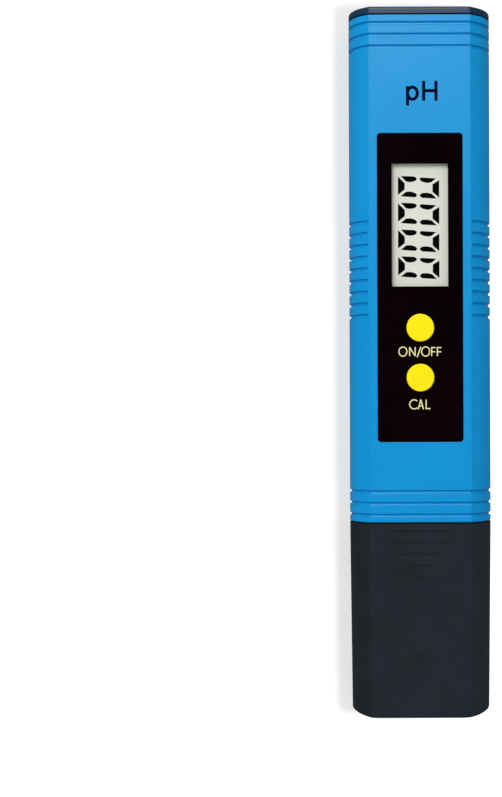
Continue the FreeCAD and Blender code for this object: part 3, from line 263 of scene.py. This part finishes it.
M = {}
M["blue_abs"] = surface(
    "blue_abs", BLUE, rough=0.37, spec=0.10, grain=0.17, bump=0.22, blotch=14.0, tint=0.035, wear=0.22,
    wear_rgb=(0.035, 0.37, 0.78), edge_mm=0.16, rough_var=0.09)
M["black_abs"] = surface(
    "black_abs", BLACK, rough=0.5, spec=0.15, grain=0.2, bump=0.4, blotch=9.0, tint=0.16, wear=0.3,
    wear_rgb=(0.05, 0.058, 0.064), edge_mm=0.16, rough_var=0.12)
M["panel_black"] = surface(
    "panel_black", (0.0031, 0.0005, 0.0014), rough=0.42, spec=0.004, grain=0.12, bump=0.12, blotch=12.0, tint=0.25,
    wear=0.12, wear_rgb=(0.012, 0.012, 0.014), edge_mm=0.08, rough_var=0.1)
M["yellow_key"] = surface(
    "yellow_key", (0.95, 0.80, 0.008), rough=0.42, spec=0.08, grain=0.22, bump=0.16, blotch=3.0, tint=0.03, wear=0.12,
    wear_rgb=(1.0, 0.9, 0.22), edge_mm=0.14, sub=0.06)
M["clear_window"] = clear("clear_window", (0.985, 0.99, 0.985), 0.9995, rough=0.03, gloss=0.06)
M["lcd_glass"] = clear("lcd_glass", (0.93, 0.96, 0.93), 0.92, rough=0.04, gloss=0.6)
M["lcd_polariser"] = surface(
    "lcd_polariser", (0.75, 0.767, 0.683), rough=0.55, spec=0.1, grain=0.1, bump=0.05, blotch=7.0, tint=0.02,
    wear=0.0, second=seg_film)
M["lcd_back"] = surface(
    "lcd_back", (0.62, 0.64, 0.58), rough=0.35, metal=0.3, grain=0.08, bump=0.2, tint=0.05, wear=0.0)
M["white_plastic"] = surface(
    "white_plastic", (0.72, 0.72, 0.69), rough=0.5, grain=0.25, bump=0.25, tint=0.04, wear=0.15, sub=0.05)
M["zebra_rubber"] = surface(
    "zebra_rubber", (0.42, 0.40, 0.40), rough=0.7, spec=0.3, grain=0.2, bump=0.3, tint=0.08, wear=0.0,
    second=zebra_layers)
M["pcb_green"] = surface(
    "pcb_green", (0.010, 0.17, 0.055), rough=0.32, spec=0.5, grain=0.12, bump=0.3, blotch=4.0, tint=0.12, wear=0.25,
    wear_rgb=(0.55, 0.46, 0.25), edge_mm=0.1, second=pcb_traces, coat=0.3)
M["chip_black"] = surface(
    "chip_black", (0.016, 0.016, 0.017), rough=0.6, spec=0.4, grain=0.12, bump=0.5, tint=0.2, wear=0.25,
    wear_rgb=(0.08, 0.08, 0.08), edge_mm=0.08)
M["steel"] = surface(
    "steel", (0.56, 0.56, 0.54), rough=0.33, metal=0.45, grain=0.1, bump=0.35, tint=0.12, blotch=1.2, wear=0.5,
    wear_rgb=(0.75, 0.75, 0.74), edge_mm=0.07)
M["stainless"] = surface(
    "stainless", (0.62, 0.62, 0.61), rough=0.28, metal=0.45, grain=0.12, bump=0.3, tint=0.08, blotch=2.0, wear=0.4,
    stretch=(1, 1, 0.06), edge_mm=0.07)
M["nickel"] = surface(
    "nickel", (0.70, 0.68, 0.65), rough=0.24, metal=0.45, grain=0.15, bump=0.2, tint=0.07, blotch=3.0, wear=0.4,
    edge_mm=0.1)
M["spring_bronze"] = surface(
    "spring_bronze", (0.62, 0.42, 0.22), rough=0.3, metal=0.45, grain=0.12, bump=0.3, tint=0.12, blotch=1.5, wear=0.4,
    stretch=(1, 1, 0.08), edge_mm=0.06)
M["silver"] = surface(
    "silver", (0.72, 0.70, 0.66), rough=0.3, metal=0.45, grain=0.08, bump=0.3, tint=0.2, blotch=1.2, wear=0.0,
    second=lambda g: (
        g.ramp(g.put("ShaderNodeSeparateXYZ", Vector=g.coords()).outputs["Z"], [(0.026, 1.0), (0.03, 0.0)]),
        (0.10, 0.085, 0.08)))
M["sensor_glass"] = clear("sensor_glass", (0.93, 0.975, 0.965), 0.93, rough=0.02, gloss=1.0, smear=0.1)
M["ceramic"] = surface(
    "ceramic", (0.72, 0.67, 0.56), rough=0.8, spec=0.2, grain=0.1, bump=0.6, tint=0.12, blotch=1.0, wear=0.15,
    edge_mm=0.05)
M["epoxy"] = surface(
    "epoxy", (0.03, 0.026, 0.022), rough=0.18, spec=0.5, grain=0.6, bump=0.15, tint=0.2, wear=0.0, coat=0.3)
M["seal_rubber"] = surface(
    "seal_rubber", (0.022, 0.022, 0.023), rough=0.62, spec=0.35, grain=0.15, bump=0.4, tint=0.15, wear=0.1, sheen=0.1,
    edge_mm=0.1)
M["stopper_silicone"] = surface(
    "stopper_silicone", (0.50, 0.10, 0.06), rough=0.45, grain=0.2, bump=0.2, tint=0.08, wear=0.0, sub=0.2)
M["wire_jacket"] = surface(
    "wire_jacket", (0.45, 0.02, 0.015), rough=0.42, grain=0.15, bump=0.2, tint=0.1, wear=0.0)
M["sponge_foam"] = surface(
    "sponge_foam", (0.80, 0.70, 0.40), rough=0.95, spec=0.1, grain=0.45, bump=1.0, tint=0.22, blotch=2.0, wear=0.0,
    sheen=0.3, scratches=0)
M["print_navy"] = surface(
    "print_navy", (0.0010, 0.0034, 0.022), rough=0.5, spec=0.0, grain=0.12, bump=0.15, tint=0.2, wear=0.0)
M["print_yellow"] = surface(
    "print_yellow", (0.84, 0.77, 0.38), rough=0.5, spec=0.1, grain=0.1, bump=0.15, tint=0.06, wear=0.0)
M["lcd_ink"] = surface(
    "lcd_ink", (0.0010, 0.0011, 0.0010), rough=0.5, spec=0.0, grain=0.1, bump=0.05, tint=0.2, wear=0.0)

M["plate_abs"] = surface(
    "plate_abs", (0.0085, 0.0365, 0.075), rough=0.4, spec=0.12, grain=0.2, bump=0.3, blotch=9.0, tint=0.14, wear=0.3,
    wear_rgb=(0.07, 0.08, 0.09), edge_mm=0.16, rough_var=0.12)

slots = {s["node"]: s["material_slot"] for s in frame["record"]["subparts"]}
for name, obj in NODES.items():
    obj.data.materials.clear()
    obj.data.materials.append(M["plate_abs" if name == "battery_cap" else slots[name]])


# ------------------------------------------------------------ printed shapes
def new_object(name, verts, faces, mat, smooth=False):
    me = bpy.data.meshes.new(name)
    me.from_pydata([tuple(v) for v in verts], [], faces)
    me.materials.append(M[mat])
    if smooth:
        me.polygons.foreach_set("use_smooth", [True] * len(me.polygons))
    me.update()
    o = bpy.data.objects.new(name, me)
    scene.collection.objects.link(o)
    return o


def stroke_plate(name, field, x0, x1, z0, z1, step, y_front, thick, mat):
    """A thin closed plate whose outline is the zero line of a distance field,
    in millimetres on the XZ plane, negative inside."""
    nx, nz = int(round((x1 - x0) / step)) + 1, int(round((z1 - z0) / step)) + 1
    X, Z = np.meshgrid(x0 + step * np.arange(nx), z0 + step * np.arange(nz), indexing="ij")
    F = field(X, Z)
    F = np.where(np.abs(F) < 1e-6, 1e-6, F)
    pts, index, faces, rim = [], {}, [], []

    def corner(i, j):
        k = ("c", i, j)
        if k not in index:
            index[k] = len(pts)
            pts.append((X[i, j], Z[i, j]))
        return index[k]

    def cross(a, b):
        k = ("e", *min(a, b), *max(a, b))
        if k not in index:
            fa, fb = F[a], F[b]
            t = fa / (fa - fb)
            t = min(0.97, max(0.03, t))
            index[k] = len(pts)
            pts.append((X[a] + t * (X[b] - X[a]), Z[a] + t * (Z[b] - Z[a])))
        return index[k]

    for i in range(nx - 1):
        for j in range(nz - 1):
            cs = [(i, j), (i + 1, j), (i + 1, j + 1), (i, j + 1)]
            ins = [F[c] < 0 for c in cs]
            if not any(ins):
                continue
            if sum(ins) == 2 and ins[0] == ins[2]:
                # two opposite corners: one small face at each
                for k in range(4):
                    if ins[k]:
                        a, b = cross(cs[k], cs[(k + 1) % 4]), cross(cs[k], cs[k - 1])
                        faces.append([corner(*cs[k]), a, b])
                        rim.append((a, b))
                continue
            loop, cut = [], []
            for k in range(4):
                n = (k + 1) % 4
                if ins[k]:
                    loop.append(corner(*cs[k]))
                if ins[k] != ins[n]:
                    c = cross(cs[k], cs[n])
                    loop.append(c)
                    cut.append((c, ins[k]))
            faces.append(loop)
            if len(cut) == 2:
                (a, out_a), (b, _) = cut
                rim.append((a, b) if out_a else (b, a))
    n = len(pts)
    yf, yb = y_front * MM, (y_front + thick) * MM
    verts = [(x * MM, yf, z * MM) for x, z in pts] + [(x * MM, yb, z * MM) for x, z in pts]
    # counter-clockwise in (x, z) seen from -Y is outward for the front face
    out = [list(f) for f in faces] + [[v + n for v in reversed(f)] for f in faces]
    out += [[b, a, a + n, b + n] for a, b in rim]
    o = new_object(name, verts, out, mat)
    bm = bmesh.new()
    bm.from_mesh(o.data)
    bmesh.ops.recalc_face_normals(bm, faces=bm.faces)
    bmesh.ops.dissolve_limit(bm, angle_limit=0.01, verts=bm.verts, edges=bm.edges)
    bmesh.ops.triangulate(bm, faces=[f for f in bm.faces if len(f.verts) > 4])
    bm.to_mesh(o.data)
    bm.free()
    return o


def seg(X, Z, a, b, r):
    """Distance to a straight stroke from a to b with half width r, with square
    ends when r is given as a pair (half width, end overrun)."""
    half, over = r if isinstance(r, tuple) else (r, 0.0)
    a, b = np.array(a, float), np.array(b, float)
    d = b - a
    length = np.linalg.norm(d)
    d = d / length
    px, pz = X - a[0], Z - a[1]
    t = px * d[0] + pz * d[1]
    s = np.abs(px * -d[1] + pz * d[0])
    return np.maximum(s - half, np.maximum(-t - over, t - length - over))


def ring(X, Z, c, rx, rz, r, keep=None):
    """Distance to an elliptic stroke round c; keep limits it to an arc."""
    px, pz = (X - c[0]) / rx, (Z - c[1]) / rz
    rad = np.hypot(px, pz) + 1e-9
    scale = 1.0 / np.hypot(px / rad / rx, pz / rad / rz)
    d = np.abs(rad - 1) * scale - r
    if keep is not None:
        d = np.maximum(d, keep(X, Z))
    return d


def ph_field(X, Z):
    w = 0.34
    parts = [
        seg(X, Z, (-2.61, 137.58), (-2.61, 133.3), (w, 0.0)),
        ring(X, Z, (-1.54, 136.02), 1.07, 1.31, w),
        seg(X, Z, (0.90, 138.70), (0.90, 134.36), (w, 0.0)),
        seg(X, Z, (3.58, 138.70), (3.58, 134.36), (w, 0.0)),
        seg(X, Z, (0.90, 136.55), (3.58, 136.55), (w, 0.0)),
    ]
    return np.minimum.reduce(parts)


def on_off_field(X, Z):
    w = 0.117
    top, bot, mid = 80.78, 78.93, 79.81
    parts = [
        ring(X, Z, (-3.80, 79.87), 0.86, 1.0, w),
        seg(X, Z, (-2.34, bot), (-2.34, top), (w, 0.06)),
        seg(X, Z, (-1.14, bot), (-1.14, top), (w, 0.06)),
        seg(X, Z, (-2.34, top), (-1.14, bot), (w, 0.0)),
        seg(X, Z, (0.09, 80.90), (-0.71, 78.62), (w, 0.0)),
        ring(X, Z, (1.13, 79.87), 0.88, 1.0, w),
        seg(X, Z, (2.45, bot), (2.45, top), (w, 0.06)),
        seg(X, Z, (2.45, top - 0.06), (3.28, top - 0.06), (w, 0.0)),
        seg(X, Z, (2.45, mid), (3.21, mid), (w, 0.0)),
        seg(X, Z, (3.69, bot), (3.69, top), (w, 0.06)),
        seg(X, Z, (3.69, top - 0.06), (4.58, top - 0.06), (w, 0.0)),
        seg(X, Z, (3.69, mid), (4.52, mid), (w, 0.0)),
    ]
    return np.minimum.reduce(parts)


def cal_field(X, Z):
    w = 0.117
    c = (-1.38, 68.39)

    def keep(X, Z):
        # open towards +X between the two tips
        px, pz = X - c[0], Z - c[1]
        return np.where(px > 0, px * math.cos(0.92) - np.abs(pz) * math.sin(0.62), -1.0)

    parts = [
        ring(X, Z, c, 0.98, 0.98, w, keep),
        seg(X, Z, (-0.50, 67.38), (0.06, 69.40), (w, 0.05)),
        seg(X, Z, (0.62, 67.38), (0.06, 69.40), (w, 0.05)),
        seg(X, Z, (-0.3, 68.02), (0.42, 68.02), (w * 0.9, 0.0)),
        seg(X, Z, (1.20, 69.42), (1.20, 67.44), (w, 0.0)),
        seg(X, Z, (1.08, 67.46), (2.16, 67.46), (w, 0.0)),
    ]
    return np.minimum.reduce(parts)


step = 0.05
panel_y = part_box("panel_overlay")[0].y / MM
shell_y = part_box("front_shell")[0].y / MM
legend_ph = stroke_plate("legend_ph", ph_field, -3.2, 4.2, 133.0, 139.2, step, shell_y - 0.02, 0.03, "print_navy")
legend_on = stroke_plate("legend_on_off", on_off_field, -5.1, 5.0, 78.3, 81.4, step, panel_y - 0.02, 0.03, "print_yellow")
legend_cal = stroke_plate("legend_cal", cal_field, -2.8, 2.5, 66.9, 70.0, step, panel_y - 0.02, 0.03, "print_yellow")
for o, s in ((legend_ph, "black_abs"), (legend_on, "yellow_key"), (legend_cal, "yellow_key")):
    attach(o, "housing")

# display segments: four upright-reading noughts lying on their side
SEGMENTS = [
    [(-4.67, 117.93), (-3.40, 116.62), (-3.40, 115.36), (-4.67, 114.31)],
    [(-3.95, 118.15), (-1.30, 118.02), (-0.80, 117.74), (-0.84, 117.40), (-1.30, 117.12), (-2.20, 117.00), (-2.95, 117.12)],
    [(0.08, 117.62), (0.42, 117.80), (3.36, 117.62), (2.50, 116.96), (1.75, 116.80), (0.80, 116.98), (0.22, 117.28)],
    [(-3.97, 113.88), (-2.95, 114.68), (-1.95, 114.72), (-1.10, 114.46), (-0.74, 114.12), (-0.78, 113.84), (-1.13, 113.68)],
    [(0.07, 113.98), (0.50, 114.40), (1.55, 114.46), (2.56, 114.24), (3.50, 113.36), (0.50, 113.56)],
    [(4.14, 117.12), (4.14, 113.70), (2.90, 114.79), (2.90, 116.34)],
]
PITCH = 5.849
GROW = 0.11


def grown(poly, d):
    """The polygon moved out by d on every side."""
    n = len(poly)
    area = sum(a[0] * b[1] - b[0] * a[1] for a, b in zip(poly, poly[1:] + poly[:1]))
    turn = 1 if area > 0 else -1
    out = []
    for i in range(n):
        p, c, f = (np.array(poly[k % n], float) for k in (i - 1, i, i + 1))
        e0, e1 = (c - p) / np.linalg.norm(c - p), (f - c) / np.linalg.norm(f - c)
        n0, n1 = turn * np.array([e0[1], -e0[0]]), turn * np.array([e1[1], -e1[0]])
        m = n0 + n1
        m /= np.linalg.norm(m)
        out.append(tuple(c + m * min(d / max(float(m @ n0), 0.35), 2.0 * d)))
    return out


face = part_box("lcd_polarizer")[0].y / MM
verts, faces = [], []
for d in range(4):
    for poly in SEGMENTS:
        pts = [(x, z - d * PITCH) for x, z in grown(poly, GROW)]
        area = sum(a[0] * b[1] - b[0] * a[1] for a, b in zip(pts, pts[1:] + pts[:1]))
        if area < 0:
            pts = pts[::-1]
        k, n = len(verts), len(pts)
        verts += [(x * MM, (face - 0.010) * MM, z * MM) for x, z in pts]
        verts += [(x * MM, (face + 0.002) * MM, z * MM) for x, z in pts]
        faces.append([k + i for i in range(n)])
        faces.append([k + n + i for i in reversed(range(n))])
        faces += [[k + i, k + n + i, k + n + (i + 1) % n, k + (i + 1) % n] for i in range(n)]
digits = new_object("lcd_segments", verts, faces, "lcd_ink")
bm = bmesh.new()
bm.from_mesh(digits.data)
bmesh.ops.recalc_face_normals(bm, faces=bm.faces)
bm.to_mesh(digits.data)
bm.free()
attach(digits, "housing")

# --------------------------------------------------------------------- sponge
lo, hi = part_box("cap_sponge")
src = NODES["cap_sponge"]
foam = bpy.data.objects.new("sponge_pad", src.data.copy())
scene.collection.objects.link(foam)
foam.data.materials.clear()
foam.data.materials.append(M["sponge_foam"])
rem = foam.modifiers.new("remesh", "REMESH")
rem.mode, rem.voxel_size = "VOXEL", 0.32 * MM
tex = bpy.data.textures.new("foam_pores", "VORONOI")
tex.noise_scale = 1.1 * MM
tex.distance_metric = "DISTANCE"
dis = foam.modifiers.new("pores", "DISPLACE")
dis.texture, dis.strength, dis.mid_level, dis.texture_coords = tex, -0.55 * MM, 0.0, "GLOBAL"
dg = bpy.context.evaluated_depsgraph_get()
done = bpy.data.meshes.new_from_object(foam.evaluated_get(dg))
foam.modifiers.clear()
foam.data = done
co = np.empty(len(done.vertices) * 3, np.float32)
done.vertices.foreach_get("co", co)
co = co.reshape(-1, 3)
co[:] = np.clip(co, np.array(lo, np.float32) + 1e-5, np.array(hi, np.float32) - 1e-5)
done.vertices.foreach_set("co", co.ravel())
done.polygons.foreach_set("use_smooth", [True] * len(done.polygons))
done.update()
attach(foam, "electrode_cap")
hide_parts("cap_sponge")

# ------------------------------------------------------- table and background
def stage_plane(name, y, size, mat):
    s = size
    me = bpy.data.meshes.new(name)
    me.from_pydata([(-s, y, -s), (s, y, -s), (s, y, s), (-s, y, s)], [], [(0, 1, 2, 3)])
    me.materials.append(mat)
    o = bpy.data.objects.new(name, me)
    scene.collection.objects.link(o)
    o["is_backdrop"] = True
    return o


g = Graph("table_white")
geo = g.put("ShaderNodeNewGeometry")
path = g.put("ShaderNodeLightPath")
tone = g.mix(g.ramp(g.noise(40.0, 3.0), [(0.3, 0.0), (0.7, 1.0)]), (0.36, 0.362, 0.364), (0.37, 0.37, 0.37))
dif = g.put("ShaderNodeBsdfDiffuse", Color=tone)
emi = g.put("ShaderNodeEmission", Color=(1, 1, 0.99, 1), Strength=0.62)
both = g.put("ShaderNodeAddShader")
g.feed(both, "#0", dif.outputs[0])
g.feed(both, "#1", emi.outputs[0])
# seen by the eye it is white; it sends only a little light back at the object
side = g.put("ShaderNodeSeparateXYZ", Vector=geo.outputs["Position"]).outputs["X"]
wide = g.ramp(g.math("ADD", g.math("MULTIPLY", side, 4.0), 0.5), [(0.0, 1.0), (1.0, 0.78)])
back = g.math("SUBTRACT", 0.42, g.math("MULTIPLY", path.outputs["Is Glossy Ray"], 0.20))
dim = g.put("ShaderNodeEmission", Color=wide, Strength=back)
seen = g.put("ShaderNodeMixShader", Fac=path.outputs["Is Camera Ray"])
g.feed(seen, "#1", dim.outputs[0])
g.feed(seen, "#2", both.outputs[0])
hole = g.put("ShaderNodeBsdfTransparent")
near = g.math("LESS_THAN", path.outputs["Ray Length"], 0.004)
soft = g.math("MULTIPLY", near, g.math("SUBTRACT", 1.0, path.outputs["Is Camera Ray"]))
gone = g.math("MAXIMUM", geo.outputs["Backfacing"], soft)
sw = g.put("ShaderNodeMixShader", Fac=gone)
g.feed(sw, "#1", seen.outputs[0])
g.feed(sw, "#2", hole.outputs[0])
g.feed(g.out, "Surface", sw.outputs[0])
table = stage_plane("table", first_bounds[1].y + 0.0001, 2.2, g.mat)
table.visible_shadow = False

# --------------------------------------------------------------------- world
world = bpy.data.worlds.new("studio")
scene.world = world
world.use_nodes = True
wt = world.node_tree
wt.nodes.clear()


def world_put(kind, **inputs):
    n = wt.nodes.new(kind)
    for k, v in inputs.items():
        sock = n.inputs[int(k[1:])] if k[0] == "i" and k[1:].isdigit() else n.inputs[k]
        if isinstance(v, bpy.types.NodeSocket):
            wt.links.new(v, sock)
        else:
            sock.default_value = v
    return n


def world_sky(stops, strength, gain=None):
    """A sky whose brightness depends on height, from -1 below to 1 above."""
    m = world_put("ShaderNodeMath", i0=height, i1=0.5, i2=0.5)
    m.operation = "MULTIPLY_ADD"
    r = world_put("ShaderNodeValToRGB", Fac=m.outputs[0])
    e = r.color_ramp.elements
    while len(e) < len(stops):
        e.new(0.5)
    for i, (at, col) in enumerate(stops):
        e[i].position = (at + 1) / 2
        e[i].color = (*col, 1.0)
    if gain is not None:
        k = world_put("ShaderNodeMath", i0=gain, i1=strength)
        k.operation = "MULTIPLY"
        strength = k.outputs[0]
    return world_put("ShaderNodeBackground", Color=r.outputs[0], Strength=strength).outputs[0]


split = world_put("ShaderNodeSeparateXYZ", i0=world_put("ShaderNodeTexCoord").outputs["Generated"])
height = split.outputs["Z"]
# the mirror sky is bright in front and dim at both sides
side_map = world_put("ShaderNodeMapRange", Value=split.outputs["Y"])
for key, v in (("From Min", -0.85), ("From Max", -0.1), ("To Min", 1.0), ("To Max", 0.12)):
    side_map.inputs[key].default_value = v
facing = side_map.outputs[0]
lp = world_put("ShaderNodeLightPath")
for_matt = world_sky([(-0.4, (0.52, 0.52, 0.52)), (0.35, (1.0, 1.0, 1.0))], SKY)
for_gloss = world_sky([(-0.1, (0.0, 0.0, 0.0)), (0.04, (0.03, 0.031, 0.032)), (0.24, (0.75, 0.77, 0.80)), (0.6, (1.0, 1.0, 1.0))], SHEEN, facing)
for_eye = world_put("ShaderNodeBackground", Color=(1.0, 1.0, 1.0, 1.0)).outputs[0]
lit = world_put("ShaderNodeMixShader", Fac=lp.outputs["Is Glossy Ray"], i1=for_matt, i2=for_gloss)
all_ = world_put("ShaderNodeMixShader", Fac=lp.outputs["Is Camera Ray"], i1=lit.outputs[0], i2=for_eye)
world_put("ShaderNodeOutputWorld", Surface=all_.outputs[0])
# the sky is smooth, so plain bounces find it; this keeps its three parts apart
world.cycles.sampling_method = "NONE"


def softbox(name, at, aim, w, h, power, glossy=True, colour=(1, 1, 1)):
    d = bpy.data.lights.new(name, "AREA")
    d.shape, d.size, d.size_y, d.energy, d.color = "RECTANGLE", w, h, power, colour
    o = bpy.data.objects.new(name, d)
    o.location = at
    o.rotation_mode = "QUATERNION"
    o.rotation_quaternion = (Vector(aim) - Vector(at)).to_track_quat("-Z", "Y")
    o.visible_glossy = glossy
    o.visible_camera = False
    scene.collection.objects.link(o)
    return o


mid = (0.0, 0.0, 0.078)
shade = softbox("table_key", (0.107, -0.275, 0.056), mid, 0.095, 0.075, 1.62, glossy=False)
front_fill = softbox("front_fill", (-0.21, -0.585, 0.40), mid, 0.35, 0.25, 2.42, glossy=False)
cap_fill = softbox("cap_fill", (0.03, -0.60, 0.12), (0.0, 0.0, 0.02), 0.22, 0.22, 2.7, glossy=False)
right_fill = softbox("right_fill", (0.50, -0.20, 0.12), mid, 0.25, 0.25, 0.11, glossy=False, colour=(0.70, 0.84, 1.0))
sheen = softbox("sheen_top", (-0.05, -0.25, 0.32), (0.0, 0.0, 0.11), 0.16, 0.12, 3.5)
sheen.visible_diffuse = False
rear_fill = softbox("rear_fill", (0.25, 0.60, 0.40), mid, 0.35, 0.35, 2.6, glossy=False)

# the shadow-throwing lamp lights the table only, the fill lights the object only
lit_table = bpy.data.collections.new("lit_table")
lit_table.objects.link(table)
shade.light_linking.receiver_collection = lit_table
lit_object = bpy.data.collections.new("lit_object")
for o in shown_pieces():
    lit_object.objects.link(o)
lit_front = bpy.data.collections.new("lit_front")
lit_cap = bpy.data.collections.new("lit_cap")
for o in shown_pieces():
    (lit_cap if o == NODES["protective_cap"] else lit_front).objects.link(o)
front_fill.light_linking.receiver_collection = lit_front
cap_fill.light_linking.receiver_collection = lit_cap
lit_gloss = bpy.data.collections.new("lit_gloss")
for n in ("front_shell", "rear_shell", "battery_cap"):
    lit_gloss.objects.link(NODES[n])
sheen.light_linking.receiver_collection = lit_gloss
right_fill.light_linking.receiver_collection = lit_object
rear_fill.light_linking.receiver_collection = lit_object

# -------------------------------------------------------------------- camera
cam_data = bpy.data.cameras.new("camera")
cam = bpy.data.objects.new("camera", cam_data)
scene.collection.objects.link(cam)
scene.camera = cam
cam_data.sensor_fit = "AUTO"
cam_data.sensor_width = 36.0
cam_data.lens = 68.59
cam_data.shift_x = -0.1810
cam.location = (-0.0055, -0.3385, 0.06968)
cam.rotation_mode = "XYZ"
cam.rotation_euler = (math.radians(90.0), math.radians(0.20), 0.0)
cam_data.clip_start, cam_data.clip_end = 0.01, 20.0

# the sideways lens shift only belongs to this viewpoint: a curve over the
# camera's distance from its home place takes it to nothing elsewhere
home = bpy.data.objects.new("camera_home", None)
home.location = cam.location
scene.collection.objects.link(home)
curve = cam_data.driver_add("shift_x")
curve.driver.type = "SUM"
away = curve.driver.variables.new()
away.name, away.type = "away", "LOC_DIFF"
away.targets[0].id, away.targets[1].id = cam, home
for m in list(curve.modifiers):
    curve.modifiers.remove(m)
for at, v in ((0.0, -0.1810), (0.02, 0.0), (9.0, 0.0)):
    curve.keyframe_points.insert(at, v).interpolation = "LINEAR"
curve.update()

scene.view_settings.view_transform = "Standard"
scene.view_settings.look = "None"
scene.view_settings.exposure = 0.0
scene.view_settings.gamma = 1.0
scene.cycles.max_bounces = 10
scene.cycles.diffuse_bounces = 4
scene.cycles.glossy_bounces = 4
scene.cycles.transparent_max_bounces = 16
scene.cycles.sample_clamp_indirect = 4.0
scene.cycles.caustics_reflective = False
scene.cycles.caustics_refractive = False
